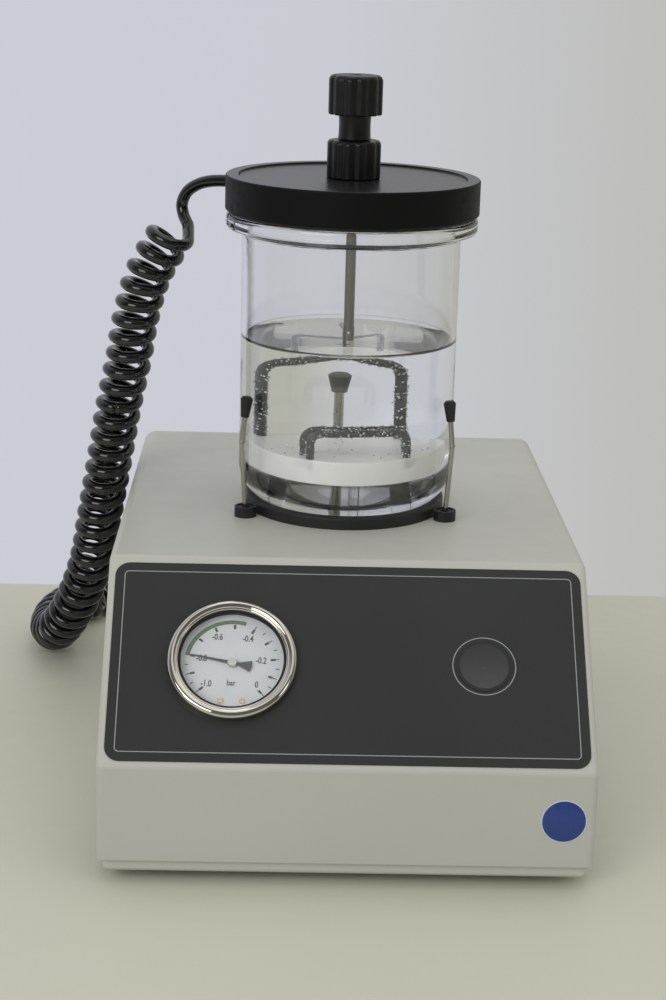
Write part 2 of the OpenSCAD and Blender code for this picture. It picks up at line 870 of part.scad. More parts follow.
// An arch of wire about Z, in the XZ plane, with its feet a little below z = 0
module wire_arch(half, h, r) {
  bend_z = h - wire_bend;
  for (s = [-1, 1]) {
    translate([s * half, 0, -wire_seat]) cylinder(r = r, h = bend_z + wire_seat);
    translate([s * (half - wire_bend), 0, bend_z])
      rotate([90, 0, 0])
        rotate([0, 0, s > 0 ? 0 : 90])
          rotate_extrude(angle = 90)
            translate([wire_bend, 0]) circle(r = r);
  }
  translate([-half + wire_bend, 0, h]) rotate([0, 90, 0]) cylinder(r = r, h = 2 * (half - wire_bend));
}

// A round wire or tube of radius r through points, with a ball at each corner
module round_run(p, r) {
  for (i = [0 : len(p) - 2]) {
    way = p[i + 1] - p[i];
    length = norm(way);
    translate(p[i])
      rotate([0, acos(way[2] / length), atan2(way[1], way[0])])
        cylinder(r = r, h = length);
  }
  for (i = [1 : len(p) - 2])
    translate(p[i]) sphere(r = r + 0.05);
}

module at_plate() {
  at_jar() translate([0, 0, plate_top]) rotate(holder_turn) children();
}

module holder_plate() {
  color([0.92, 0.93, 0.93, 0.8])
    at_plate()
      difference() {
        union() {
          translate([0, 0, -plate_t]) cylinder(r = plate_r, h = plate_t, $fn = 96);
          for (a = [30, 150, 270])
            rotate(a)
              translate([plate_r - 14, 0, -plate_t - plate_leg_h])
                cylinder(r = 4, h = plate_leg_h + 1);
        }
        for (s = [-1, 1], t = [-1, 1])
          translate([s * cradle_half, t * cradle_gap - cradle_ahead, -wire_seat])
            cylinder(r = cradle_wire_r + seat_gap, h = 20);
        for (s = [-1, 1])
          translate([s * bail_half, bail_back, -wire_seat]) cylinder(r = bail_wire_r + seat_gap, h = 20);
      }
}

module cradle_wires() {
  color([0.12, 0.13, 0.14])
    at_plate()
      for (t = [-1, 1])
        translate([0, t * cradle_gap - cradle_ahead, 0])
          wire_arch(cradle_half, cradle_h - cradle_wire_r, cradle_wire_r);
}

module holder_bail() {
  corner_z = bail_h - bail_wire_r;
  peak = [0, bail_back - bail_reach, corner_z + bail_rise];
  color([0.12, 0.13, 0.14])
    at_plate()
      round_run([[-bail_half, bail_back, -wire_seat], [-bail_half, bail_back, corner_z], peak,
        [bail_half, bail_back, corner_z], [bail_half, bail_back, -wire_seat]], bail_wire_r);
}

// The lid
module lid_plate() {
  color([0.05, 0.05, 0.06])
    at_jar()
      translate([0, 0, lid_z])
        difference() {
          rotate_extrude($fn = 128)
            polygon([[0, -spigot_h], [spigot_r - 1, -spigot_h], [spigot_r, 1 - spigot_h], [spigot_r, 0],
              [lid_r - 0.6, 0], [lid_r, 0.6], [lid_r, lid_t - 1], [lid_r - 1, lid_t],
              [lid_r - rim_w, lid_t], [lid_r - rim_w - rim_h, lid_t - rim_h], [0, lid_t - rim_h]]);
          translate([0, 0, -spigot_h - 1]) cylinder(r = gland_r + seat_gap, h = 60);
          rotate(lid_port_turn) {
            translate([lid_port_r - 2, 0, lid_t / 2])
              rotate([0, 90, 0])
                cylinder(r = air_r, h = 40);
            translate([lid_r - lid_stem_len, 0, lid_t / 2])
              rotate([0, 90, 0])
                cylinder(r = hose_r + 0.5 + seat_gap, h = 40);
            translate([lid_port_r, 0, -spigot_h - 1]) cylinder(r = air_r, h = spigot_h + 1 + lid_t / 2);
          }
        }
}

module lid_gasket() {
  color([0.1, 0.1, 0.1])
    at_jar()
      translate([0, 0, lid_z - gasket_t])
        ring(flange_r - 2, jar_in_r + 0.5, gasket_t, $fn = 128);
}

module lid_hose_fitting() {
  color([0.05, 0.05, 0.05])
    at_jar()
      rotate(lid_port_turn)
        translate([lid_r - lid_stem_len, 0, lid_port_z])
          rotate([0, 90, 0])
            difference() {
              union() {
                cylinder(r = hose_r + 0.5, h = lid_stem_len);
                translate([0, 0, lid_stem_len]) cylinder(r = hose_r + 1.4, h = lid_nose);
              }
              translate([0, 0, -1]) cylinder(r = air_r, h = lid_stem_len + lid_nose + 2);
            }
}

module gland_body() {
  color([0.3, 0.3, 0.3])
    at_jar()
      difference() {
        translate([0, 0, lid_z - gland_drop])
          cylinder(r = gland_r, h = lid_top - lid_z + gland_drop + gland_h);
        translate([0, 0, lid_z - gland_drop - 1]) cylinder(r = rod_r + run_gap, h = 80);
        translate([0, 0, lid_top + gland_h - 2 * seal_h]) cylinder(r = seal_r + seat_gap, h = 20);
      }
}

module gland_seal() {
  color([0.1, 0.1, 0.1])
    at_jar()
      for (i = [1, 2])
        translate([0, 0, lid_top + gland_h - i * seal_h + near_gap / 2])
          ring(seal_r, rod_r + 0.1, seal_h - near_gap);
}

module gland_lock_nut() {
  color([0.3, 0.3, 0.3])
    at_jar()
      translate([0, 0, lid_z - gland_drop])
        hex_nut(14, gland_r + seat_gap, gland_drop - spigot_h);
}

// A fluted knob on Z with a chamfered top
module fluted(h, chamfer) {
  difference() {
    rotate_extrude($fn = 96)
      polygon([[0, 0], [knob_r - 0.6, 0], [knob_r, 0.6], [knob_r, h - chamfer],
        [knob_r - chamfer, h], [0, h]]);
    for (i = [0 : flutes - 1])
      rotate(i * 360 / flutes)
        translate([knob_r + flute_r - 1, 0, -1]) cylinder(r = flute_r, h = h + 2);
  }
}

module gland_nut() {
  color([0.05, 0.05, 0.06])
    at_jar()
      translate([0, 0, lid_top + seat_gap])
        difference() {
          fluted(nut_h - seat_gap, 2);
          translate([0, 0, -1]) cylinder(r = gland_r + run_gap, h = gland_h + 1 + near_gap);
          cylinder(r = rod_r + 0.1, h = 60);
        }
}

module lift_rod() {
  color([0.7, 0.7, 0.7])
    at_jar() {
      translate([0, 0, rod_end + rod_tip_h])
        cylinder(r = rod_r, h = knob_z + knob_h - 10 - rod_end - rod_tip_h);
      translate([0, 0, rod_end + rod_tip_h - 1.5]) cylinder(r = rod_stud_r, h = 2);
    }
}

module rod_tip() {
  color([0.7, 0.7, 0.7])
    at_jar()
      translate([0, 0, rod_end])
        difference() {
          union() {
            cylinder(r1 = rod_r - 0.2, r2 = rod_r + 0.3, h = 0.5);
            translate([0, 0, 0.5]) cylinder(r = rod_r + 0.3, h = rod_tip_h - 0.5);
          }
          translate([0, 0, rod_tip_h - 1.6]) cylinder(r = rod_stud_r + seat_gap, h = 5);
          translate([0, 0, rod_tip_h - 3])
            rotate([90, 0, 0])
              cylinder(r = rod_hole_r, h = 20, center = true);
        }
}

module rod_knob() {
  color([0.05, 0.05, 0.06])
    at_jar()
      difference() {
        union() {
          translate([0, 0, neck_z]) cylinder(r = neck_r, h = neck_h + 1);
          translate([0, 0, knob_z]) fluted(knob_h, 3);
        }
        translate([0, 0, neck_z - 1]) cylinder(r = rod_r + seat_gap, h = neck_h + knob_h - 9);
      }
}

// The fitting in the back that the hose ends in, with its lock nut inside
module rear_hose_fitting() {
  color([0.12, 0.12, 0.12])
    translate([hose_port_x, back_y, hose_port_z])
      rotate([-90, 0, 0]) {
        difference() {
          union() {
            translate([0, 0, -port_stem_len]) cylinder(r = port_stem_r, h = port_stem_len + 1);
            cylinder(r = port_stem_r + 3.4, h = 6, $fn = 6);
            cylinder(r = hose_r + 0.6, h = rear_reach);
          }
          translate([0, 0, -port_stem_len - 1]) cylinder(r = air_r, h = port_stem_len + rear_reach + 2);
        }
        translate([0, 0, -cover_wall - seat_gap - nut_t])
          hex_nut(port_stem_r + 3.4, port_stem_r + seat_gap, nut_t);
      }
}

function unit(v) = v / norm(v);
function point_before(p, i) = i > 0 ? p[i - 1] : 2 * p[0] - p[1];
function point_after(p, i) = i < len(p) ? p[i] : 2 * p[i - 1] - p[i - 2];
function span_of(p, u) = min(floor(u * (len(p) - 1)), len(p) - 2);

// The smooth curve through points p at u from 0 to 1, and its direction there
function curve_at(p, u) =
  let (i = span_of(p, u), t = u * (len(p) - 1) - i)
  let (a = point_before(p, i), b = p[i], c = p[i + 1], d = point_after(p, i + 2))
  0.5 * (2 * b + (c - a) * t + (2 * a - 5 * b + 4 * c - d) * t ^ 2 + (3 * b - a - 3 * c + d) * t ^ 3);
function curve_way(p, u) =
  let (i = span_of(p, u), t = u * (len(p) - 1) - i)
  let (a = point_before(p, i), b = p[i], c = p[i + 1], d = point_after(p, i + 2))
  unit((c - a) + 2 * (2 * a - 5 * b + 4 * c - d) * t + 3 * (3 * b - a - 3 * c + d) * t ^ 2);

// The unit vector nearest to side that is square to way
function across(way, side) = unit(side - (side * way) * way);

// The way out from the curls' axis to the tube's middle at u, and that middle
function curl_out(u) =
  let (way = curve_way(coil_axis, u), n = across(way, curl_side))
  let (turn = curl_start + (360 * curls + last_curl) * u)
  cos(turn) * n + sin(turn) * cross(way, n);
function curl_at(u) = curve_at(coil_axis, u) + curl_r * curl_out(u);

// The curly stretch's steps, and its two ends after one straight diameter each
curl_steps = round(rings_per_curl * (curls + last_curl / 360));
curl_us = [for (i = [0 : curl_steps]) i / curl_steps];
curl_points = [for (u = curl_us) curl_at(u)];
coil_way_in = unit(curl_at(0.0001) - curl_at(0));
coil_way_out = unit(curl_at(1) - curl_at(0.9999));
coil_start = curl_points[0] - hose_d * coil_way_in;
coil_end = curl_points[curl_steps] + hose_d * coil_way_out;

// The least gap between turns, from points that are more than half a curl apart
function self_gap(p, skip) =
  min([for (i = [0 : len(p) - 1 - skip], j = [i + skip : len(p) - 1]) norm(p[i] - p[j])]) - hose_d;

// A tube along points p, with a side vector at each point
module swept_tube(p, sides_at, r, sides) {
  last = len(p) - 1;
  ways = [for (i = [0 : last]) unit(p[min(i + 1, last)] - p[max(i - 1, 0)])];
  normals = [for (i = [0 : last]) across(ways[i], sides_at[i])];
  points = [for (i = [0 : last], k = [0 : sides - 1])
    let (a = k * 360 / sides)
    p[i] + r * (cos(a) * normals[i] + sin(a) * cross(ways[i], normals[i]))];
  walls = [for (i = [0 : last - 1], k = [0 : sides - 1])
    let (m = (k + 1) % sides, a = i * sides, b = a + sides)
    each [[a + k, b + m, a + m], [a + k, b + k, b + m]]];
  caps = [for (k = [1 : sides - 2])
    each [[0, k, k + 1], [last * sides, last * sides + k + 1, last * sides + k]]];
  polyhedron(points = points, faces = concat(walls, caps), convexity = 20);
}

module hose_coil() {
  echo(least_gap_between_curls = self_gap(curl_points, 5));
  outs = [for (u = curl_us) curl_out(u)];
  color([0.06, 0.06, 0.06])
    swept_tube(
      concat([coil_start], curl_points, [coil_end]),
      concat([outs[0]], outs, [outs[curl_steps]]),
      hose_r,
      coil_sides);
}

// A smooth tube through a route's points, with its first and last stretches straight
module hose_lead(route, side) {
  last = len(route) - 1;
  p = concat([route[0]], [for (i = [1 : 0.5 : last - 1]) curve_at(route, i / last)], [route[last]]);
  color([0.06, 0.06, 0.06])
    swept_tube(p, [for (q = p) side], hose_r, lead_sides);
}

module hose_lead_top() {
  way = [cos(lid_port_turn), sin(lid_port_turn), 0];
  start = [0, jar_y, lid_port_z] + (lid_r + lid_nose) * way;
  hose_lead(
    concat([start, start + hose_d * way], top_route, [coil_start - hose_d * coil_way_in, coil_start]),
    [1, 1, 0]);
}

module hose_lead_rear() {
  port = [hose_port_x, back_y + rear_reach, hose_port_z];
  hose_lead(
    concat([coil_end, coil_end + hose_d * coil_way_out], rear_route, [port + [0, hose_d, 0], port]),
    [-1, -1, 1]);
}

// Places children in the middle of the power inlet at the back's outer face, with +Z pointing out
module at_inlet() {
  translate([inlet_x, back_y, inlet_z]) rotate([-90, 0, 0]) children();
}

module power_inlet() {
  color([0.08, 0.08, 0.08])
    at_inlet()
      difference() {
        union() {
          linear_extrude(2.5) round_rect(inlet_w + 4, inlet_h + 4, 2.5);
          translate([-inlet_w / 2 + seat_gap, -inlet_h / 2 + seat_gap, -inlet_depth])
            cube([inlet_w - 2 * seat_gap, inlet_h - 2 * seat_gap, inlet_depth + 1]);
        }
        translate([0, 0, -pin_depth + 2.5]) linear_extrude(pin_depth) round_rect(24, 16.5, 3);
        at_pins()
          translate([0, 0, -inlet_depth - 1])
            cube([2 + 2 * seat_gap, 4 + 2 * seat_gap, 20], center = true);
      }
}

// Places children on the inlet's three pins
module at_pins() {
  for (p = [[-7, 2], [0, -2], [7, 2]])
    translate([p[0], p[1], 0]) children();
}

module inlet_pins() {
  length = inlet_depth + 8;
  color([0.8, 0.8, 0.78])
    at_inlet()
      at_pins()
        translate([-1, -2, -length]) cube([2, 4, length]);
}

// Places children on the rocker switch at the back's outer face, with +Z pointing out
module at_switch() {
  translate([rocker_x, back_y, inlet_z]) rotate([-90, 0, 0]) children();
}

module switch_frame() {
  depth = 18;
  color([0.08, 0.08, 0.08])
    at_switch()
      difference() {
        union() {
          linear_extrude(2) round_rect(rocker_w + 2.5, rocker_h + 2.5, 1.5);
          translate([-rocker_w / 2 + seat_gap, -rocker_h / 2 + seat_gap, -depth])
            cube([rocker_w - 2 * seat_gap, rocker_h - 2 * seat_gap, depth + 1]);
        }
        translate([-5.25, -rocker_h / 2 + 0.95, -depth + 2]) cube([10.5, rocker_h - 1.9, depth + 1]);
        rotate([0, 90, 0]) cylinder(r = rocker_pin_r + run_gap, h = 12.4, center = true);
      }
}

// The rocker turns about X on two pins, and is drawn tilted to its off side
module switch_rocker() {
  color([0.1, 0.1, 0.1])
    at_switch()
      rotate([rocker_tilt, 0, 0]) {
        rotate([90, 0, 90])
          linear_extrude(10, center = true)
            polygon([[-4, -5], [4, -5], [8, 1], [7.8, 4.2], [0, 2.8], [-7.8, 4.2], [-8, 1]]);
        rotate([0, 90, 0]) cylinder(r = rocker_pin_r, h = 12, center = true);
      }
}

// Places children at the power board's four screws
module at_board() {
  for (x = [board_x + 5, board_x + board_w - 5], y = [board_y + 5, board_y + board_d - 5])
    translate([x, y, 0]) children();
}

module power_board() {
  color([0.1, 0.35, 0.2]) {
    difference() {
      union() {
        translate([board_x, board_y, board_z]) cube([board_w, board_d, board_t]);
        translate([board_x + 12, board_y + board_d - 12, board_z + 1]) cube([30, 9, 12]);
        translate([board_x + 72, board_y + 18, board_z + 1]) cylinder(r = 6, h = 18);
        translate([board_x + 72, board_y + 34, board_z + 1]) cylinder(r = 5, h = 14);
        translate([board_x + 16, board_y + 8, board_z + 1]) cube([16, 19, 16]);
      }
      at_board() translate([0, 0, board_z - 1]) cylinder(r = board_screw_r + 0.2, h = 5);
    }
    at_board() {
      translate([0, 0, board_z + board_t - 6]) cylinder(r = board_screw_r - seat_gap, h = 6);
      translate([0, 0, board_z + board_t]) cylinder(r = 2.6, h = 1.8);
    }
  }
}

module transformer() {
  color([0.35, 0.35, 0.38])
    translate([board_x + 48, board_y + 36, board_z + board_t]) {
      translate([-16, -9, 0]) cube([32, 18, 28]);
      translate([-10, -15, 5]) cube([20, 30, 18]);
    }
}

// The pump: its case stands on four rubber mounts
module at_mounts() {
  for (s = [-1, 1], y = [crank_y + 5, motor_y + motor_d - 10])
    translate([pump_x + s * 30, y, 0]) children();
}

module pump_mounts() {
  color([0.1, 0.1, 0.1])
    at_mounts() {
      translate([0, 0, foot_h - 2]) cylinder(r = 5, h = 2);
      translate([0, 0, foot_h - 0.5]) cylinder(r = mount_nub_r, h = crank_z - foot_h + 1);
      translate([0, 0, tray_floor_z]) cylinder(r = 7, h = mount_h);
      translate([0, 0, crank_z]) cylinder(r = 5, h = 2);
    }
}

module pump_crankcase() {
  plate_x = pump_x - pump_plate_w / 2;
  color([0.6, 0.6, 0.62])
    difference() {
      union() {
        translate([plate_x, crank_y - 5, tray_floor_z + mount_h])
          cube([pump_plate_w, crank_d + motor_d + 5, plate_sheet]);
        translate([pump_x - crank_w / 2, crank_y, crank_z - 1])
          cube([crank_w, crank_d, case_top_z - crank_z + 1]);
        translate([pump_x - saddle_w / 2, motor_y + 10, crank_z - 1]) cube([saddle_w, motor_d - 20, 16]);
      }
      at_mounts() translate([0, 0, tray_floor_z]) cylinder(r = mount_nub_r + seat_gap, h = 30);
      translate([pump_x, crank_y, pump_axis_z])
        rotate([-90, 0, 0]) {
          translate([0, 0, 5]) cylinder(r = big_end_r + 4.7, h = crank_d);
          translate([0, 0, 1]) cylinder(r = shaft_r + run_gap, h = 20);
          translate([0, 0, crank_d]) cylinder(r = motor_r + seat_gap, h = motor_d + 1);
        }
      translate([pump_x, crank_mid_y, pump_axis_z]) cylinder(r = 8, h = 40);
    }
}

module pump_motor() {
  color([0.45, 0.46, 0.48])
    translate([pump_x, motor_y, pump_axis_z])
      rotate([-90, 0, 0])
        difference() {
          union() {
            cylinder(r = motor_r - 3, h = motor_d + 8);
            translate([0, 0, 3]) cylinder(r = motor_r, h = motor_d - 3);
          }
          translate([0, 0, -1]) cylinder(r = shaft_r + run_gap, h = motor_d + 12);
        }
}

// The motor's shaft with the pump's eccentric and the cooling fan
module pump_rotor() {
  fan_y = motor_d + 9;
  color([0.75, 0.75, 0.78])
    translate([pump_x, motor_y, pump_axis_z])
      rotate([-90, 0, 0]) {
        translate([0, 0, 1.3 - crank_d]) cylinder(r = shaft_r, h = crank_d + fan_y + 5);
        translate([0, throw, 13 - crank_d]) cylinder(r = eccentric_r, h = 8);
        translate([0, 0, fan_y]) cylinder(r = shaft_r + 3, h = 5);
        for (i = [0 : 5])
          rotate(i * 60)
            translate([shaft_r + 1.5, -0.7, fan_y + 0.5]) cube([14.5, 1.4, 4]);
      }
}

// The rod that the eccentric pushes, moulded in one with the diaphragm over it
module pump_con_rod() {
  color([0.15, 0.15, 0.15])
    translate([pump_x, crank_mid_y, 0]) {
      translate([0, -4.5, pump_axis_z])
        rotate([-90, 0, 0])
          difference() {
            cylinder(r = big_end_r + 2.7, h = 8);
            translate([0, 0, -1]) cylinder(r = big_end_r, h = 10);
          }
      translate([-3, -3, pump_axis_z + big_end_r + 1])
        cube([6, 6, case_top_z - pump_axis_z - big_end_r - 0.5]);
      translate([0, 0, case_top_z]) cylinder(r = head_r, h = diaphragm_t);
    }
}

module pump_head() {
  color([0.2, 0.2, 0.22])
    translate([pump_x, crank_mid_y, head_z])
      difference() {
        union() {
          cylinder(r = head_r, h = head_h);
          for (s = [-1, 1])
            translate([s * nipple_x, 0, 0]) cylinder(r = tube_r, h = head_h + nipple_h);
          for (a = [45 : 90 : 315])
            rotate(a) translate([head_r - 3.5, 0, 0]) cylinder(r = 2.8, h = head_h + 2, $fn = 6);
        }
        for (s = [-1, 1])
          translate([s * nipple_x, 0, -1]) cylinder(r = port_bore, h = head_h + nipple_h + 2);
      }
}

// The block that joins the pump, the gauge, the hose and the vent valve
module manifold() {
  color([0.78, 0.78, 0.75])
    translate([manifold_x, manifold_y, manifold_z])
      difference() {
        union() {
          cube([manifold_w, manifold_s, manifold_s], center = true);
          for (x = [0, pump_port_x - manifold_x])
            translate([x, 0, 0]) cylinder(r = tube_r, h = manifold_s / 2 + port_h);
          translate([-gauge_x - manifold_x, 0, 0])
            rotate([90, 0, 0])
              cylinder(r = tube_r, h = manifold_s / 2 + port_h);
        }
        rotate([0, 90, 0])
          translate([0, 0, -manifold_w / 2 - 1])
            cylinder(r = port_bore, h = manifold_w - 4);
        for (x = [0, pump_port_x - manifold_x])
          translate([x, 0, 0]) cylinder(r = port_bore, h = manifold_s);
        translate([-gauge_x - manifold_x, 0, 0]) rotate([90, 0, 0]) cylinder(r = port_bore, h = manifold_s);
      }
}

module vent_valve() {
  color([0.75, 0.62, 0.3])
    translate([manifold_x - manifold_w / 2 - valve_w / 2, manifold_y, tray_floor_z])
      difference() {
        union() {
          translate([-valve_w / 2, -valve_w / 2, 0]) cube([valve_w, valve_w, 14]);
          cylinder(r = 12, h = 34);
          cylinder(r = 5, h = 37);
        }
        translate([valve_w / 2 - 8, 0, manifold_s / 2]) rotate([0, 90, 0]) cylinder(r = port_bore, h = 9);
      }
}

module air_tubes() {
  port_z = tray_floor_z + manifold_s + port_h;
  gauge_at = [-gauge_x, slope_top_y - controls_v * slope_c, top_z - controls_v * slope_s];
  down = [0, slope_s, -slope_c];
  gauge_end = gauge_at + port_y * [0, slope_c, slope_s] + (gauge_depth + gauge_port_len) * down;
  color([0.85, 0.86, 0.86]) {
    round_run([[manifold_x, manifold_y, port_z], [manifold_x, manifold_y, hose_port_z],
      [hose_port_x, back_y - port_stem_len, hose_port_z]], tube_r);
    round_run([[pump_port_x, manifold_y, port_z], [pump_port_x, manifold_y, tube_top_z],
      [pump_port_x, crank_mid_y, tube_top_z], [pump_x - nipple_x, crank_mid_y, tube_top_z],
      [pump_x - nipple_x, crank_mid_y, head_z + head_h + nipple_h]], tube_r);
    round_run([gauge_end, gauge_end + (gauge_end[2] - manifold_z) / slope_c * down,
      [-gauge_x, manifold_y - manifold_s / 2 - port_h, manifold_z]], tube_r);
  }
}

housing_cover();
base_tray();
rubber_feet();
cover_screws();
panel_foil();
gauge_case();
gauge_bezel();
gauge_glass();
gauge_dial();
dial_screws();
gauge_movement();
gauge_bourdon();
gauge_needle();
needle_hub();
gauge_clamp();
clamp_nuts();
gauge_port();
button_cup();
button_cap();
button_nut();
button_switch();
switch_plunger();
jar_ring();
post_rods();
post_collars();
post_tips();
post_nuts();
jar_glass();
holder_plate();
cradle_wires();
holder_bail();
lid_plate();
lid_gasket();
lid_hose_fitting();
gland_body();
gland_seal();
gland_lock_nut();
gland_nut();
lift_rod();
rod_tip();
rod_knob();
rear_hose_fitting();
hose_coil();
hose_lead_top();
hose_lead_rear();
power_inlet();
inlet_pins();
switch_frame();
switch_rocker();
power_board();
transformer();
pump_mounts();
pump_crankcase();
pump_motor();
pump_rotor();
pump_con_rod();
pump_head();
vent_valve();
manifold();
air_tubes();
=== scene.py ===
import bpy
import numpy as np
from math import cos, sin, radians, pi
from mathutils import Matrix, Vector


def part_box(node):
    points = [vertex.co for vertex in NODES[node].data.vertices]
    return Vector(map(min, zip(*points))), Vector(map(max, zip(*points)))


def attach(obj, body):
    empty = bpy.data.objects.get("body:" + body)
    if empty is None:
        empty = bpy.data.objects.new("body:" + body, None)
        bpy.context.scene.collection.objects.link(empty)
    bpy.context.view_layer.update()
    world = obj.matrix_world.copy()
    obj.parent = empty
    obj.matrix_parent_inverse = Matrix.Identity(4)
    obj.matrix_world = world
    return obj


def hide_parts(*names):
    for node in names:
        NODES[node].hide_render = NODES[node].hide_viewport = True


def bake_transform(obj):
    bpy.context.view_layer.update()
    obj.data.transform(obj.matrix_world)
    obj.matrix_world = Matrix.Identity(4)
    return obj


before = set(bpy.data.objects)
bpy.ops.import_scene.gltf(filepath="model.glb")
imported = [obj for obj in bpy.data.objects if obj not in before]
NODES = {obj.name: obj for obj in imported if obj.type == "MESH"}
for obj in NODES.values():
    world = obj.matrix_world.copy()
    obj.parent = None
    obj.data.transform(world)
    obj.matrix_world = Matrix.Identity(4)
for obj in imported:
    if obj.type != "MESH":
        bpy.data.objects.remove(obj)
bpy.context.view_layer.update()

# A vacuum bench tester for watches. Lengths are in millimetres in the frame of the solids, where
# the table is z = 0, -y is the front and +x is to the right, and MM brings them to metres.
MM = 0.001


# Tools for places, meshes and materials

def node_box(node):
    """The lowest and highest corner of a solid, in millimetres."""
    low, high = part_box(node)
    return np.array(low) / MM, np.array(high) / MM


def linear(r, g, b):
    """A display colour from 0 to 255 as the linear colour that the shader takes."""
    c = np.array([r, g, b]) / 255
    return (*np.where(c <= 0.04045, c / 12.92, ((c + 0.055) / 1.055) ** 2.4), 1.0)


def mesh_piece(name, points, faces, material, body, smooth=True):
    """A piece from points in millimetres and a list of faces, riding on a body if one is given."""
    mesh = bpy.data.meshes.new(name)
    mesh.from_pydata((np.asarray(points, float) * MM).tolist(), [], faces)
    mesh.polygons.foreach_set("use_smooth", np.full(len(mesh.polygons), smooth))
    mesh.materials.append(material)
    mesh.update()
    piece = bpy.data.objects.new(name, mesh)
    bpy.context.scene.collection.objects.link(piece)
    if body:
        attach(piece, body)
    return piece


def grid_faces(rows, columns, wrap_rows=False, wrap_columns=False):
    """The four-sided faces of a grid of rows by columns points, joined round where it wraps."""
    r = np.arange(rows if wrap_rows else rows - 1)
    c = np.arange(columns if wrap_columns else columns - 1)
    r, c = [a.ravel() for a in np.meshgrid(r, c, indexing="ij")]
    r_next, c_next = (r + 1) % rows, (c + 1) % columns
    corners = [r * columns + c, r * columns + c_next,
               r_next * columns + c_next, r_next * columns + c]
    return np.stack(corners, axis=1).tolist()


def grid_piece(name, points, material, body,
               wrap_rows=False, wrap_columns=False, caps=False, smooth=True):
    """A surface through a grid of points of shape (rows, columns, 3). With caps, its first and
    last rows are closed by one face each."""
    rows, columns = points.shape[:2]
    faces = grid_faces(rows, columns, wrap_rows, wrap_columns)
    if caps:
        faces.append(list(range(columns))[::-1])
        faces.append(list(range((rows - 1) * columns, rows * columns)))
    return mesh_piece(name, points.reshape(-1, 3), faces, material, body, smooth)


# How many points a turned piece has round it, and the largest ones
TURN_STEPS = 128
WIDE_TURN_STEPS = 192
# A profile ends on a small ring about its axis, which a cap closes
POLE_R = 0.05


def held(profile, hold=0.2):
    """A profile with a point just inside both ends of each long straight stretch, at p + hold * way
    and q - hold * way, so that the shading turns only at its corners."""
    profile = np.asarray(profile, float)
    step = np.diff(profile, axis=0)
    length = np.linalg.norm(step, axis=1)
    long = np.flatnonzero(length > 4 * hold)
    inset = step[long] * (hold / length[long])[:, None]
    ends = np.stack([profile[long] + inset, profile[long + 1] - inset], axis=1)
    return np.insert(profile, np.repeat(long + 1, 2), ends.reshape(-1, profile.shape[1]), axis=0)


def revolved(profile, centre, turns=TURN_STEPS):
    """Points of a profile of (radius, height) pairs turned about the vertical line through centre:
    row i is the ring (x + r_i cos a, y + r_i sin a, z + h_i)."""
    profile = held(profile)
    a = np.arange(turns) * 2 * pi / turns
    r, h = profile[:, :1], profile[:, 1:]
    x = centre[0] + r * np.cos(a)
    y = centre[1] + r * np.sin(a)
    z = centre[2] + h + 0 * a
    return np.stack([x, y, z], axis=2)


def arc(centre, radius, start, end, steps):
    """Points (radius, height) along a round stretch of a profile, between two angles in degrees."""
    a = np.radians(np.linspace(start, end, steps))
    return [(centre[0] + radius * cos(t), centre[1] + radius * sin(t)) for t in a]


class Finish:
    """A material made of a Principled shader and noise on Object coordinates that varies it."""

    def __init__(self, name, colour, roughness, **sockets):
        self.material = bpy.data.materials.new(name)
        self.material.use_nodes = True
        self.nodes = self.material.node_tree.nodes
        self.links = self.material.node_tree.links
        self.shader = self.nodes["Principled BSDF"]
        self.colour = colour
        self.shader.inputs["Base Color"].default_value = colour
        self.shader.inputs["Roughness"].default_value = roughness
        for socket, value in sockets.items():
            self.shader.inputs[socket.replace("_", " ")].default_value = value

    def noise(self, scale, detail=2.0, stretch=(1, 1, 1)):
        """Noise with features of about 1/scale metres, which a small stretch draws out."""
        place = self.nodes.new("ShaderNodeTexCoord")
        mapping = self.nodes.new("ShaderNodeMapping")
        mapping.inputs["Scale"].default_value = stretch
        texture = self.nodes.new("ShaderNodeTexNoise")
        texture.inputs["Scale"].default_value = scale
        texture.inputs["Detail"].default_value = detail
        self.links.new(place.outputs["Object"], mapping.inputs["Vector"])
        self.links.new(mapping.outputs["Vector"], texture.inputs["Vector"])
        return texture.outputs["Fac"]

    def spread(self, value, low, high, start=0.3, end=0.7):
        """value, taken from start..end to low..high."""
        span = self.nodes.new("ShaderNodeMapRange")
        span.inputs["From Min"].default_value = start
        span.inputs["From Max"].default_value = end
        span.inputs["To Min"].default_value = low
        span.inputs["To Max"].default_value = high
        self.links.new(value, span.inputs["Value"])
        return span.outputs["Result"]

    def rough(self, value, low, high):
        """A roughness that goes from low to high with value."""
        self.links.new(self.spread(value, low, high), self.shader.inputs["Roughness"])
        return self

    def tint(self, value, other, start=0.3, end=0.7):
        """The base colour, going over to another one where value is high."""
        mix = self.nodes.new("ShaderNodeMix")
        mix.data_type = "RGBA"
        mix.inputs["A"].default_value = self.colour
        mix.inputs["B"].default_value = other
        self.links.new(self.spread(value, 0, 1, start, end), mix.inputs["Factor"])
        self.links.new(mix.outputs["Result"], self.shader.inputs["Base Color"])
        return self

    def bump(self, value, height_mm, strength=1.0):
        """Shading as if the surface rose by up to height_mm where value is high."""
        bump = self.nodes.new("ShaderNodeBump")
        bump.inputs["Distance"].default_value = height_mm * MM
        bump.inputs["Strength"].default_value = strength
        self.links.new(value, bump.inputs["Height"])
        self.links.new(bump.outputs["Normal"], self.shader.inputs["Normal"])
        return self

    def on(self, *node_names):
        """Gives this finish to solids."""
        for name in node_names:
            mesh = NODES[name].data
            mesh.materials.clear()
            mesh.materials.append(self.material)
        return self


# The camera. Its angles are in radians, and its sensor's width lies along the picture's height.

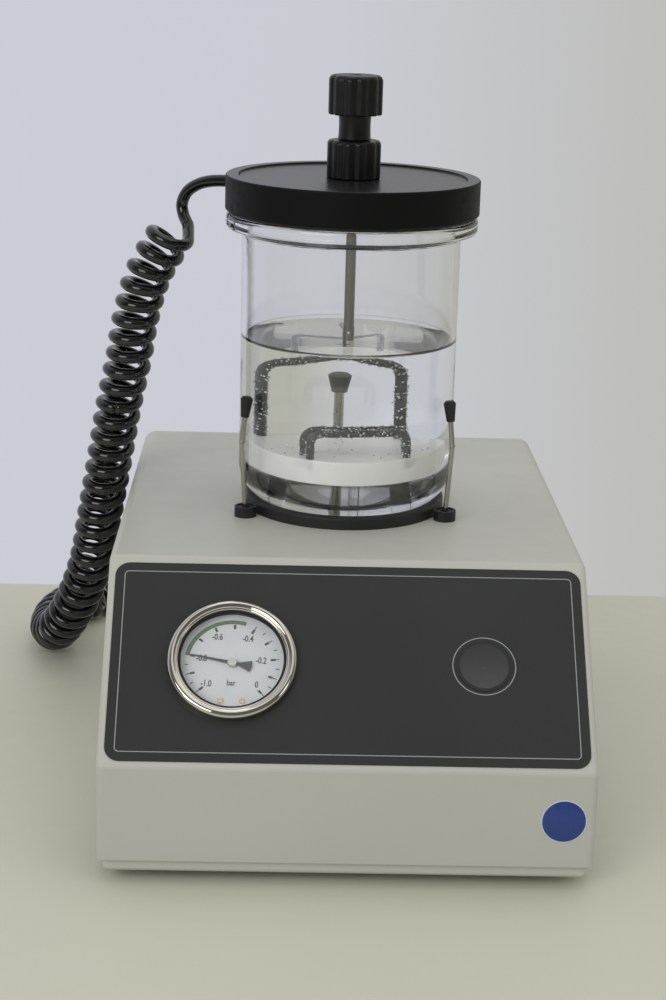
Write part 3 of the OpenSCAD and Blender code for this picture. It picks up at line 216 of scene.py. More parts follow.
CAMERA_AT = (-38.11, -1159.40, 489.87)
CAMERA_YAW = 0.0272
CAMERA_PITCH = 0.2810
CAMERA_ROLL = 0.0283
CAMERA_FOCAL_PX = 2032.9
CAMERA_SENSOR_MM = 36
CAMERA_REACH_M = 20
IMAGE_HEIGHT_PX = 1000


def make_camera():
    """The camera looks along +y, turned by yaw to the right, by pitch downwards and by roll."""
    yaw, pitch, roll = CAMERA_YAW, CAMERA_PITCH, CAMERA_ROLL
    ahead = Vector((sin(yaw) * cos(pitch), cos(yaw) * cos(pitch), -sin(pitch)))
    level = Vector((cos(yaw), -sin(yaw), 0))
    above = level.cross(ahead)
    right = cos(roll) * level + sin(roll) * above
    up = cos(roll) * above - sin(roll) * level
    data = bpy.data.cameras.new("camera")
    data.sensor_width = CAMERA_SENSOR_MM
    data.lens = CAMERA_FOCAL_PX * CAMERA_SENSOR_MM / IMAGE_HEIGHT_PX
    data.clip_end = CAMERA_REACH_M
    camera = bpy.data.objects.new("camera", data)
    turn = Matrix((right, up, -ahead)).transposed().to_4x4()
    camera.matrix_world = Matrix.Translation(Vector(CAMERA_AT) * MM) @ turn
    bpy.context.scene.collection.objects.link(camera)
    bpy.context.scene.camera = camera


make_camera()


# The hose, first of all pieces. Its route repeats the points of the solids.

HOSE_R = 3.6
CURL_R = 10.9
CURLS = 38
LAST_CURL = 240
CURL_START = -60
CURL_SIDE = np.array([1, -0.9, -0.2])
COIL_Z = CURL_R + HOSE_R + 0.3
COIL_AXIS = np.array([
    [-105, 41, 306], [-119, 46, 281], [-127, 51, 254], [-132, 56, 226], [-138, 61, 198],
    [-143, 67, 170], [-148, 73, 142], [-153, 81, 115], [-158, 90, 88], [-166, 101, 62.5],
    [-176, 115, 39.5], [-186, 134, 22.5], [-193, 160, COIL_Z + 0.5], [-192, 188, COIL_Z],
    [-181, 213, COIL_Z], [-160, 231, COIL_Z]])
TOP_ROUTE = [
    [-82, 55, 335], [-90, 60, 332.5], [-97, 64, 327.5], [-100.5, 66, 320], [-99.5, 64, 313]]
REAR_ROUTE = [
    [-161, 239, 40.5], [-154, 239, 49], [-143, 238, 58], [-132, 237, 66.5], [-121.5, 236, 72.5],
    [-110.5, 235, 75], [-100, 234, 76], [-88, 231.5, 76], [-74.5, 225.5, 75.5], [-64, 215.5, 75]]
# The coil is cut where its axis passes this one of its points, so that its lower part follows the
# jar and its upper part the lid
SPLIT_POINT = 4
# Each piece goes over from its own body to the next between two places just inside its ends
LID_PORT_TURN = 150
LID_NOSE_R = 75
RINGS_PER_CURL = 32
TOP_LEAD_RINGS = 70
REAR_LEAD_RINGS = 90
HOSE_SIDES = 16


def unit(v):
    """A vector, or each row of vectors, at a length of one."""
    return v / np.linalg.norm(v, axis=-1, keepdims=True)


def curve_at(points, u, way=False):
    """The smooth curve through points at u from 0 to 1, or the unit way along it: in the span from
    b to c, between a and d, it is half of 2b + (c-a)t + (2a-5b+4c-d)t^2 + (3b-a-3c+d)t^3."""
    points = np.asarray(points, float)
    ends = np.vstack([2 * points[0] - points[1], points, 2 * points[-1] - points[-2]])
    spans = len(points) - 1
    i = np.minimum((u * spans).astype(int), spans - 1)
    t = (u * spans - i)[:, None]
    a, b, c, d = ends[i], ends[i + 1], ends[i + 2], ends[i + 3]
    one, two, three = c - a, 2 * a - 5 * b + 4 * c - d, 3 * b - a - 3 * c + d
    if way:
        return unit(one + 2 * two * t + 3 * three * t ** 2)
    return 0.5 * (2 * b + one * t + two * t ** 2 + three * t ** 3)


def across(way, side):
    """The unit vectors nearest to side that are square to way."""
    return unit(side - np.sum(side * way, axis=-1, keepdims=True) * way)


def curl_at(u):
    """The curls' middle line: the axis at u plus the curl's radius times cos(f) n + sin(f) b, where
    n is square to the axis on the curls' side, b is the axis crossed with n, and f turns with u."""
    way = curve_at(COIL_AXIS, u, way=True)
    n = across(way, CURL_SIDE)
    b = np.cross(way, n)
    f = np.radians(CURL_START + (360 * CURLS + LAST_CURL) * u)[:, None]
    out = np.cos(f) * n + np.sin(f) * b
    return curve_at(COIL_AXIS, u) + CURL_R * out, out


def tube_points(path, sides_at, radius, sides=HOSE_SIDES):
    """Rings round a path: p + radius (cos(a) n + sin(a) b), with n square to the path at p."""
    ways = unit(np.gradient(path, axis=0))
    n = across(ways, sides_at)
    b = np.cross(ways, n)
    a = (np.arange(sides) * 2 * pi / sides)[None, :, None]
    return path[:, None] + radius * (np.cos(a) * n[:, None] + np.sin(a) * b[:, None])


def hose_piece(name, stretches, rubber, replaced):
    """One hose from stretches of (path, side vectors), with its ends closed."""
    rings = np.vstack([tube_points(p, s, HOSE_R) for p, s in stretches])
    piece = grid_piece(name, rings, rubber, None, wrap_columns=True, caps=True)
    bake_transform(piece)
    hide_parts(*replaced)


def hose_rubber():
    """Glossy black polyurethane with a faint flow pattern."""
    f = Finish("hose_polyurethane", linear(12, 12, 13), 0.16, Specular_IOR_Level=0.55,
               Coat_Weight=0.35, Coat_Roughness=0.08)
    f.rough(f.noise(90, 3), 0.12, 0.24)
    f.bump(f.noise(450, 2), 0.03, 0.5)
    return f.material


def make_hose():
    """The hose in two pieces that meet inside the coil: one from the lid's fitting down to there,
    one from the rear fitting up to there."""
    rubber = hose_rubber()
    d = 2 * HOSE_R
    steps = int(RINGS_PER_CURL * (CURLS + LAST_CURL / 360))
    split = SPLIT_POINT / (len(COIL_AXIS) - 1)
    u = np.linspace(0, 1, steps + 1)
    cut = int(round(split * steps))
    coil, outs = curl_at(u)
    way_in, way_out = unit(coil[1] - coil[0]), unit(coil[-1] - coil[-2])
    coil_start, coil_end = coil[0] - d * way_in, coil[-1] + d * way_out

    lid_low, lid_high = node_box("lid_hose_fitting")
    port_low, port_high = node_box("rear_hose_fitting")
    jar_low, jar_high = node_box("jar_glass")
    axis_y = (jar_low[1] + jar_high[1]) / 2
    turn = radians(LID_PORT_TURN)
    out = np.array([cos(turn), sin(turn), 0])
    nose = np.array([0, axis_y, (lid_low[2] + lid_high[2]) / 2]) + LID_NOSE_R * out
    port = (port_low + port_high) / 2
    port[1] = port_high[1]

    def lead(route, side, rings):
        """A route's smooth middle, with the two ends straight."""
        route = np.array(route)
        middle = curve_at(route, np.linspace(1, len(route) - 2, rings) / (len(route) - 1))
        path = np.vstack([route[:1], middle, route[-1:]])
        return path, np.tile(side, (len(path), 1))

    top, top_sides = lead([nose, nose + d * out, *TOP_ROUTE, coil_start - d * way_in, coil_start],
                          (1.0, 1.0, 0.0), TOP_LEAD_RINGS)
    rear, rear_sides = lead([coil_end, coil_end + d * way_out, *REAR_ROUTE, port + (0, d, 0), port],
                            (-1.0, -1.0, 1.0), REAR_LEAD_RINGS)
    hose_piece("hose_upper", [(top, top_sides), (coil[:cut + 1], outs[:cut + 1])], rubber,
               ["hose_lead_top"])
    hose_piece("hose_lower",
               [(rear[::-1], rear_sides[::-1]), (coil[cut:][::-1], outs[cut:][::-1])], rubber,
               ["hose_coil", "hose_lead_rear"])


make_hose()


# Places on the control slope and round the jar's axis

SLOPE = radians(43.5)
SLOPE_UP = np.array([0, cos(SLOPE), sin(SLOPE)])
SLOPE_OUT = np.array([0, -sin(SLOPE), cos(SLOPE)])
FOIL_LOW, FOIL_HIGH = node_box("panel_foil")
BEZEL_LOW, BEZEL_HIGH = node_box("gauge_bezel")
CUP_LOW, CUP_HIGH = node_box("button_cup")
JAR_LOW, JAR_HIGH = node_box("jar_glass")
JAR_AXIS = (JAR_LOW + JAR_HIGH) / 2
COVER_FRONT_Y = node_box("housing_cover")[0][1]
FOIL_T = 0.5


def solid_points(node):
    """A solid's points in millimetres."""
    mesh = NODES[node].data
    points = np.empty(3 * len(mesh.vertices), np.float32)
    mesh.vertices.foreach_get("co", points)
    return points.reshape(-1, 3) / MM


def outermost(node, way):
    """How far a solid's points reach along a unit vector."""
    return float((solid_points(node) @ way).max())


# The slope's own face, which lies the foil's thickness under the foil's
SLOPE_FACE = outermost("panel_foil", SLOPE_OUT) - FOIL_T
FOIL_MIDDLE = (FOIL_LOW + FOIL_HIGH) / 2


def slope_point(x, level):
    """The point of the slope's face at x that is as far up the slope as the point level."""
    up = level @ SLOPE_UP
    return np.array([x, 0, 0]) + up * SLOPE_UP + SLOPE_FACE * SLOPE_OUT


GAUGE = slope_point((BEZEL_LOW[0] + BEZEL_HIGH[0]) / 2, (BEZEL_LOW + BEZEL_HIGH) / 2)
BUTTON = slope_point((CUP_LOW[0] + CUP_HIGH[0]) / 2, GAUGE)
DIAL_TOP = outermost("gauge_dial", SLOPE_OUT) - SLOPE_FACE


def on_slope(centre, flat, height):
    """Points (x, up the slope) about a centre in the slope's plane as points in space, at a height
    over the slope's face."""
    flat = np.asarray(flat, float)
    return (centre + flat[..., :1] * np.array([1, 0, 0]) + flat[..., 1:2] * SLOPE_UP
            + np.asarray(height, float)[..., None] * SLOPE_OUT)


def turned(angle, flat):
    """Flat points turned anticlockwise by an angle in degrees."""
    c, s = cos(radians(angle)), sin(radians(angle))
    return np.asarray(flat, float) @ np.array([[c, s], [-s, c]])


def slope_revolved(centre, profile, turns=TURN_STEPS):
    """Rings of a profile of (radius, height over the slope's face) pairs about the slope's outward
    direction at a centre: (r cos a, r sin a) in the slope's plane, and the height along outward."""
    profile = held(profile, 0.1)
    a = np.arange(turns) * 2 * pi / turns
    flat = profile[:, :1, None] * np.stack([np.cos(a), np.sin(a)], axis=1)[None]
    return on_slope(centre, flat, np.repeat(profile[:, 1:], turns, axis=1))


# Finishes

def paint_finish(name, colour, roughness):
    """Satin powder paint: fine orange peel, and a faint change of tone over a hand's width."""
    f = Finish(name, colour, roughness, Specular_IOR_Level=0.45)
    f.tint(f.noise(9, 2), tuple(c * 0.97 for c in colour[:3]) + (1,))
    f.rough(f.noise(60, 3), roughness - 0.04, roughness + 0.05)
    f.bump(f.noise(900, 1), 0.02, 0.35)
    return f


def moulded_finish(name, colour, roughness, grain=1400, depth=0.015, patch=200, **sockets):
    """Moulded or turned plastic with a fine grain, and patches of about 1/patch metres that are a
    little duller or glossier."""
    f = Finish(name, colour, roughness, **sockets)
    f.rough(f.noise(patch, 3), roughness - 0.05, roughness + 0.06)
    f.bump(f.noise(grain, 2), depth, 0.5)
    return f


def metal_finish(name, colour, roughness, stretch=(1, 1, 1), grain=500, depth=0.004):
    """Bare or plated metal. A small stretch along one axis draws its grain out along it."""
    f = Finish(name, colour, roughness, Metallic=1.0)
    f.rough(f.noise(grain, 3, stretch), roughness * 0.75, roughness * 1.3)
    f.bump(f.noise(grain, 2, stretch), depth, 0.4)
    return f


def lets_light_through(f, colour):
    """Lets lamplight through a finish, tinted by a colour, to what stands behind it."""
    path = f.nodes.new("ShaderNodeLightPath")
    open_way = f.nodes.new("ShaderNodeBsdfTransparent")
    open_way.inputs["Color"].default_value = colour
    mix = f.nodes.new("ShaderNodeMixShader")
    f.links.new(path.outputs["Is Shadow Ray"], mix.inputs["Fac"])
    f.links.new(f.shader.outputs["BSDF"], mix.inputs[1])
    f.links.new(open_way.outputs["BSDF"], mix.inputs[2])
    output = next(n for n in f.nodes if n.type == "OUTPUT_MATERIAL")
    f.links.new(mix.outputs["Shader"], output.inputs["Surface"])
    return f


def clear_finish(name, colour, ior, roughness=0.0):
    """Clear glass or water."""
    f = Finish(name, colour, roughness, Transmission_Weight=1.0, IOR=ior)
    return lets_light_through(f, (0.98, 0.985, 0.985, 1))


def print_finish(name, colour, roughness=0.5):
    """Screen-printed ink, a little uneven."""
    f = Finish(name, colour, roughness)
    f.tint(f.noise(700, 2), tuple(c * 0.88 for c in colour[:3]) + (1,))
    return f


housing_paint = paint_finish("housing_paint", linear(184, 184, 175), 0.40)
housing_paint.on("housing_cover")
# The tray's paint is a little lighter than the cover's: painted light on its lip, which lies in the
# shade of the cover's edge
paint_finish("tray_paint", linear(190, 190, 179), 0.46).on("base_tray")

foil = Finish("panel_film", linear(48, 50, 49), 0.42, Specular_IOR_Level=0.3)
foil.tint(foil.noise(14, 3), linear(45, 47, 46))
foil.bump(foil.noise(1800, 1), 0.012, 0.5)
foil.on("panel_foil")

moulded_finish("foot_rubber", linear(30, 30, 30), 0.75).on("rubber_feet")
moulded_finish("ring_rubber", linear(27, 27, 27), 0.55, grain=700, depth=0.03).on("jar_ring")
metal_finish("screw_steel", linear(170, 168, 162), 0.3).on(
    "cover_screws", "clamp_nuts", "post_nuts")
metal_finish("post_steel", linear(172, 169, 160), 0.24, (1, 1, 0.05)).on("post_rods")
metal_finish("rod_steel", linear(120, 118, 114), 0.22, (1, 1, 0.04)).on("lift_rod", "rod_tip")
metal_finish("gauge_steel", linear(168, 168, 166), 0.3).on("gauge_case", "gauge_clamp")
chrome = metal_finish("bezel_chrome", linear(214, 210, 200), 0.07, grain=120, depth=0.002)
chrome.on("gauge_bezel")
clear_finish("gauge_glass", (0.97, 0.985, 0.98, 1), 1.5).on("gauge_glass")

dial_face = Finish("dial_enamel", linear(200, 200, 201), 0.55)
dial_face.tint(dial_face.noise(120, 2), linear(195, 195, 197))
dial_face.bump(dial_face.noise(2500, 1), 0.006, 0.5)
dial_face.on("gauge_dial")
metal_finish("dial_brass", linear(205, 188, 140), 0.3).on("dial_screws")
metal_finish("hub_nickel", linear(190, 188, 178), 0.35, grain=900, depth=0.02).on("needle_hub")
moulded_finish("needle_lacquer", linear(34, 34, 35), 0.45).on("gauge_needle")
metal_finish("gauge_brass", linear(196, 166, 96), 0.32).on(
    "gauge_movement", "gauge_bourdon", "gauge_port")

moulded_finish("button_surround", linear(34, 35, 35), 0.5).on("button_cup", "button_nut")
moulded_finish("button_film", linear(56, 57, 56), 0.36, depth=0.01, Specular_IOR_Level=0.5).on(
    "button_cap")
moulded_finish("switch_body", linear(40, 70, 130), 0.5).on("button_switch")
moulded_finish("plunger_plastic", linear(160, 40, 36), 0.5).on("switch_plunger")

moulded_finish("post_plastic", linear(22, 22, 23), 0.5, grain=900).on("post_collars", "post_tips")
lid_black = moulded_finish("lid_anodised", linear(19, 19, 20), 0.3, grain=2400, depth=0.003,
                           patch=1500, Specular_IOR_Level=0.5)
lid_black.on("lid_plate", "lid_hose_fitting")
moulded_finish("gasket_rubber", linear(28, 28, 28), 0.6).on("lid_gasket", "gland_seal")
knob_plastic = moulded_finish("knob_plastic", linear(9, 9, 10), 0.36, grain=1200, depth=0.01,
                              Specular_IOR_Level=0.38)
knob_plastic.on("gland_nut", "rod_knob", "gland_body", "gland_lock_nut")
moulded_finish("fitting_plastic", linear(26, 26, 27), 0.4).on("rear_hose_fitting")

plate_finish = moulded_finish("holder_plate_white", linear(246, 245, 241), 0.35, grain=400,
                              Transmission_Weight=0.25, IOR=1.45)
lets_light_through(plate_finish, (0.85, 0.85, 0.84, 1)).on("holder_plate")
# The legs' index is acrylic's 1.49 over the 1.333 of the water round them, and the bubbles are as
# bright as a mirror, because light can't pass from the water into air at their rims
leg_finish = clear_finish("holder_leg_acrylic", (0.985, 0.99, 0.99, 1), 1.118)
bubble_finish = metal_finish("air_bubble", linear(216, 220, 221), 0.12)
wire_finish = Finish("holder_wire", linear(24, 26, 30), 0.45)
wire_finish.tint(wire_finish.noise(1500, 2), linear(90, 94, 96), 0.55, 0.7)
wire_finish.bump(wire_finish.noise(1500, 2), 0.15, 0.8)
wire_finish.on("cradle_wires", "holder_bail")

moulded_finish("inlet_plastic", linear(26, 26, 27), 0.5).on(
    "power_inlet", "switch_frame", "switch_rocker")
metal_finish("pin_nickel", linear(190, 188, 180), 0.28).on("inlet_pins")
board = moulded_finish("board_lacquer", linear(34, 92, 56), 0.4, grain=800)
board.tint(board.noise(260, 3), linear(26, 70, 44))
board.on("power_board")
moulded_finish("core_varnish", linear(96, 94, 90), 0.5, grain=500).on("transformer")
metal_finish("pump_alloy", linear(168, 168, 166), 0.45, grain=400, depth=0.03).on(
    "pump_crankcase", "pump_head", "manifold", "vent_valve")
paint_finish("motor_grey", linear(120, 122, 124), 0.4).on("pump_motor")
moulded_finish("pump_black", linear(28, 28, 29), 0.5).on(
    "pump_rotor", "pump_con_rod", "pump_mounts")
clear_finish("tube_silicone", (0.93, 0.94, 0.92, 1), 1.41, 0.3).on("air_tubes")


# The jar's glass and the water in it

GLASS_R = 63.0
GLASS_WALL = 3.0
GLASS_FLOOR = 4.0
CORNER_R = 22.0
CORNER_STEPS = 48
FLANGE_R = 72.5
FLANGE_T = 8.0
FLANGE_ROUND_R = 2.4
# The lower round's middle over the flange's underside, which dips towards it
FLANGE_ROUND_H = 1.9
UNDER_FLANGE_R = 4.5
MOUTH_R = 1.4
MOUTH_TOP_W = 2.2
FLOOR_POLE_R = 0.5
WATER_Z = 96.6
# The water's edge climbs the wall by this much, and falls off within a few times its reach
MENISCUS = 2.6
MENISCUS_REACH = 1.7
# The water reaches a little into the glass, so that no air shows between them
WATER_IN_WALL = 0.25


def make_jar():
    """The glass as one closed profile turned about the jar's axis: up the outside from the middle
    of the floor, over the flange with its rounded edge, and down the inside."""
    top = JAR_HIGH[2] - JAR_LOW[2]
    inner = GLASS_R - GLASS_WALL
    corner = GLASS_R - CORNER_R
    under = top - FLANGE_T
    rim = FLANGE_R - FLANGE_ROUND_R
    neck = (GLASS_R + UNDER_FLANGE_R, under - UNDER_FLANGE_R)
    outside = ([(FLOOR_POLE_R, 0), (corner - 1, 0)]
               + arc((corner, CORNER_R), CORNER_R, -90, 0, CORNER_STEPS)
               + [(GLASS_R, under - 2 * UNDER_FLANGE_R)]
               + arc(neck, UNDER_FLANGE_R, 180, 110, 7)
               + arc((rim, under + FLANGE_ROUND_H), FLANGE_ROUND_R, -90, 0, 6)
               + arc((rim, top - FLANGE_ROUND_R), FLANGE_ROUND_R, 0, 90, 6)
               + [(inner + MOUTH_TOP_W, top)])
    wet_centre = (corner, CORNER_R + GLASS_FLOOR - GLASS_WALL)
    wet_corner = CORNER_R - GLASS_WALL
    inside = (arc((inner + MOUTH_R, top - MOUTH_R), MOUTH_R, 90, 180, 5)
              + arc(wet_centre, wet_corner, 0, -90, CORNER_STEPS)
              + [(FLOOR_POLE_R, GLASS_FLOOR)])
    place = (JAR_AXIS[0], JAR_AXIS[1], JAR_LOW[2])
    glass = clear_finish("jar_glass", (0.957, 0.96, 0.963, 1), 1.5).material
    jar = grid_piece("jar_vessel", revolved(outside + inside, place, WIDE_TURN_STEPS), glass,
                     "jar", wrap_columns=True, caps=True)
    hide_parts("jar_glass")

    wet_r = inner + WATER_IN_WALL
    r = wet_r - (wet_r - FLOOR_POLE_R) * np.linspace(0, 1, 40) ** 2
    surface = np.stack([r, WATER_Z + MENISCUS * np.exp((r - wet_r) / MENISCUS_REACH)], axis=1)
    profile = ([(FLOOR_POLE_R, GLASS_FLOOR - WATER_IN_WALL)]
               + arc(wet_centre, wet_corner + WATER_IN_WALL, -90, 0, CORNER_STEPS)
               + surface.tolist())
    water = clear_finish("jar_water", (0.995, 0.998, 0.995, 1), 1.333).material
    grid_piece("water", revolved(profile, place, WIDE_TURN_STEPS), water, "jar",
               wrap_columns=True, caps=True)


make_jar()


# The holder that stands in the water: its plate and legs, the bail's bent wire, and air bubbles

HOLDER_TURN = 10
PLATE_R = 43.7
PLATE_T = 14.0
PLATE_ROUND_R = 0.8
PLATE_FOOT, PLATE_TOP = [corner[2] for corner in node_box("holder_plate")]
LEG_R = 4.0
LEG_CHAMFER = 0.5
LEG_RING_R = PLATE_R - 14
LEG_ANGLES = (30, 150, 270)
CRADLE_WIRE_R = 2.1
CRADLE_CORNERS = np.array([(-25, 0, 0), (-25, 0, 14.9), (25, 0, 14.9), (25, 0, 0)])
CRADLE_YS = (-31.8, -20.2)
BAIL_WIRE_R = 2.15
BAIL_CORNERS = np.array([
    (-26.5, 31, -4), (-26.5, 31, 43.85), (0, 7, 54.85), (26.5, 31, 43.85), (26.5, 31, -4)])
WIRE_BEND = 7.0
WIRE_BUBBLES = 1500
PLATE_BUBBLES = 25
BUBBLE_SEED = 5
# A bubble on a wire has a radius from the least one up to the spread more, mostly small
BUBBLE_LEAST_R = 0.2
BUBBLE_SPREAD_R = 0.5
PLATE_BUBBLE_R = (0.3, 0.6)
PLATE_BUBBLE_H = 0.4
PLATE_BUBBLE_EDGE = 3


def in_holder(points):
    """Points about the middle of the plate's top, taken along the holder's own sides."""
    points = np.asarray(points, float)
    flat = turned(HOLDER_TURN, points[..., :2])
    return np.concatenate([flat, points[..., 2:]], axis=-1) + (JAR_AXIS[0], JAR_AXIS[1], PLATE_TOP)


def bent_wire(corners, steps=10):
    """A wire's middle line, straight between its corners, with each corner c rounded by the curve
    (1-t)^2 p + 2t(1-t) c + t^2 q between the points p and q a bend's length away from it."""
    path = [corners[0]]
    t = np.linspace(0, 1, steps)[:, None]
    for before, c, after in zip(corners[:-2], corners[1:-1], corners[2:]):
        p, q = c + WIRE_BEND * unit(before - c), c + WIRE_BEND * unit(after - c)
        path.extend((1 - t) ** 2 * p + 2 * t * (1 - t) * c + t ** 2 * q)
    path.append(corners[-1])
    return np.array(path)


def balls(name, centres, radii, material, body, rings=4, sides=8):
    """Small balls as one mesh: rings c + r (sin v cos a, sin v sin a, cos v) between two poles."""
    v = np.arange(1, rings + 1)[:, None] * pi / (rings + 1)
    a = np.arange(sides) * 2 * pi / sides
    middle = np.stack([np.sin(v) * np.cos(a), np.sin(v) * np.sin(a), np.cos(v) + 0 * a], axis=2)
    one = np.vstack([middle.reshape(-1, 3), [(0, 0, 1), (0, 0, -1)]])
    quads = np.array(grid_faces(rings, sides, wrap_columns=True))[:, ::-1]
    c = np.arange(sides)
    last = (rings - 1) * sides
    top = np.stack([c, (c + 1) % sides, np.full(sides, rings * sides)], axis=1)
    foot = np.stack([last + (c + 1) % sides, last + c, np.full(sides, rings * sides + 1)], axis=1)
    first = (np.arange(len(centres)) * len(one))[:, None, None]
    caps = (np.vstack([top, foot]) + first).reshape(-1, 3)
    faces = (quads + first).reshape(-1, 4).tolist() + caps.tolist()
    points = centres[:, None] + radii[:, None, None] * one
    return mesh_piece(name, points.reshape(-1, 3), faces, material, body)


def bubbles_on_wire(path, wire_r, count, random):
    """Places of bubbles that cling to a wire, evenly along it and all round it, and their radii:
    each middle is the wire's radius and half the bubble's own away from the wire's middle line."""
    step = np.linalg.norm(np.diff(path, axis=0), axis=1)
    along = np.concatenate([[0], np.cumsum(step)])
    at = random.uniform(0, along[-1], count)
    middle = np.stack([np.interp(at, along, path[:, k]) for k in range(3)], axis=1)
    way = unit(np.diff(path, axis=0))[np.clip(np.searchsorted(along, at) - 1, 0, len(step) - 1)]
    radii = BUBBLE_LEAST_R + BUBBLE_SPREAD_R * random.uniform(0, 1, count) ** 2
    out = across(way, random.normal(size=(count, 3)))
    return middle + (wire_r + 0.5 * radii[:, None]) * out, radii


def make_holder():
    """The plate and its legs are turned profiles, the bail is a tube along its bent line, and the
    bubbles cling to the wires and lie about on the plate."""
    disc_r = PLATE_R - PLATE_ROUND_R
    disc = ([(POLE_R, -PLATE_T)]
            + arc((disc_r, PLATE_ROUND_R - PLATE_T), PLATE_ROUND_R, -90, 0, 5)
            + arc((disc_r, -PLATE_ROUND_R), PLATE_ROUND_R, 0, 90, 5) + [(POLE_R, 0)])
    plate = grid_piece("holder_disc", revolved(disc, in_holder((0, 0, 0))), plate_finish.material,
                       "holder", wrap_columns=True, caps=True)
    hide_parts("holder_plate")
    leg_foot = PLATE_FOOT - PLATE_TOP
    leg = [(POLE_R, leg_foot), (LEG_R - LEG_CHAMFER, leg_foot), (LEG_R, leg_foot + LEG_CHAMFER),
           (LEG_R, -PLATE_T), (POLE_R, -PLATE_T)]
    for i, angle in enumerate(LEG_ANGLES):
        a = radians(angle)
        middle = in_holder((LEG_RING_R * cos(a), LEG_RING_R * sin(a), 0))
        grid_piece(f"holder_leg_{i + 1}", revolved(leg, middle, 32), leg_finish.material,
                   "holder", wrap_columns=True, caps=True)

    bail = in_holder(bent_wire(BAIL_CORNERS))
    side = in_holder((0, 1, 0)) - in_holder((0, 0, 0))
    wire = grid_piece("bail_wire", tube_points(bail, side, BAIL_WIRE_R), wire_finish.material,
                      "holder", wrap_columns=True, caps=True)
    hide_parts("holder_bail")

    random = np.random.default_rng(BUBBLE_SEED)
    wires = [(bail, BAIL_WIRE_R, 0.5)]
    wires += [(in_holder(bent_wire(CRADLE_CORNERS) + (0, y, 0)), CRADLE_WIRE_R, 0.25)
              for y in CRADLE_YS]
    bubbles = [bubbles_on_wire(path, wire_r, int(WIRE_BUBBLES * share), random)
               for path, wire_r, share in wires]
    r = (PLATE_R - PLATE_BUBBLE_EDGE) * np.sqrt(random.uniform(0, 1, PLATE_BUBBLES))
    a = random.uniform(0, 2 * pi, PLATE_BUBBLES)
    lying = np.stack([r * np.cos(a), r * np.sin(a), np.full(PLATE_BUBBLES, PLATE_BUBBLE_H)], axis=1)
    bubbles.append((in_holder(lying), random.uniform(*PLATE_BUBBLE_R, PLATE_BUBBLES)))
    centres = np.vstack([c for c, r in bubbles])
    radii = np.concatenate([r for c, r in bubbles])
    above_plate = centres[:, 2] > PLATE_TOP
    balls("air_bubbles", centres[above_plate], radii[above_plate], bubble_finish.material,
          "holder")


make_holder()


# The gauge's bezel, and the print on its dial

PRINT_TURN = -2.4
DIAL_PRINT = DIAL_TOP + 0.03
# The scale runs clockwise over ten steps. Each mark is a short thick bar, and a long thin one
# outside it where the green arc leaves room; half steps have a thin one
SCALE_START = 225
SCALE_STEP = -27
SCALE_STEPS = 10
MARKS_AT_ARC = range(2, 6)
HALF_MARKS = (0, 1, 6, 7, 8, 9)
THICK_MARK = (20.4, 23.0, 1.3)
THIN_MARK = (22.9, 25.2, 0.5)
HALF_MARK = (23.2, 25.2, 0.55)
ARC_FROM, ARC_TO = 76, 172
ARC_IN_R, ARC_OUT_R = 23.3, 25.6
ARC_STEPS = 48
# Each number's text and middle, then the unit's
NUMBER_SIZE, NUMBER_NARROW = 5.2, 0.72
NUMBERS = (("-1.0", (-12.9, -12.2)), ("-0.8", (-16.4, 2.4)), ("-0.6", (-8.9, 15.4)),
           ("-0.4", (7.4, 15.2)), ("-0.2", (15.2, 2.8)), ("0", (13.6, -11.4)))
UNIT_WORD = ("bar", 4.6, 0.78, (0.3, -11.2))
LETTER_WEIGHT = 0.024
STOP_PIN_AT = (14.2, -15.6)
STOP_PIN_R = 0.45


def flat_patch(centre, corners, height, turn=0):
    """A row of points round a flat shape in the slope's plane."""
    return on_slope(centre, turned(turn, corners), np.full(len(corners), height))


def flat_shapes(name, centre, shapes, height, material, turn=0):
    """Several flat shapes, each a list of corners taken anticlockwise, as one printed piece."""
    points, faces, first = [], [], 0
    for shape in shapes:
        points.append(flat_patch(centre, shape, height, turn))
        faces.append(list(range(first, first + len(shape))))
        first += len(shape)
    return mesh_piece(name, np.vstack(points), faces, material, "housing", smooth=False)


def scale_bar(step, r_start, r_end, width):
    """The corners of a bar along the radius of a step of the scale."""
    a = radians(SCALE_START + SCALE_STEP * step)
    along, aside = np.array([cos(a), sin(a)]), np.array([-sin(a), cos(a)]) * width / 2
    return [r_start * along - aside, r_end * along - aside,
            r_end * along + aside, r_start * along + aside]


def lettering(name, words, centre, height, material, turn):
    """Dial lettering: each (text, size, narrowing, middle) becomes a flat mesh whose middle is at a
    place in the slope's plane."""
    points, faces, first = [], [], 0
    for text, size, narrow, middle in words:
        curve = bpy.data.curves.new("lettering", "FONT")
        curve.body = text
        curve.size = size
        curve.resolution_u = 3
        curve.offset = LETTER_WEIGHT * size
        word = bpy.data.objects.new("lettering", curve)
        bpy.context.scene.collection.objects.link(word)
        bpy.context.view_layer.update()
        shape = word.evaluated_get(bpy.context.evaluated_depsgraph_get()).to_mesh()
        flat = np.array([v.co[:2] for v in shape.vertices]) * (narrow, 1)
        flat += np.array(middle) - (flat.min(axis=0) + flat.max(axis=0)) / 2
        points.append(flat_patch(centre, flat, height, turn))
        faces += [[first + i for i in p.vertices] for p in shape.polygons]
        first += len(flat)
        word.to_mesh_clear()
        bpy.data.objects.remove(word)
        bpy.data.curves.remove(curve)
    return mesh_piece(name, np.vstack(points), faces, material, "housing", smooth=False)


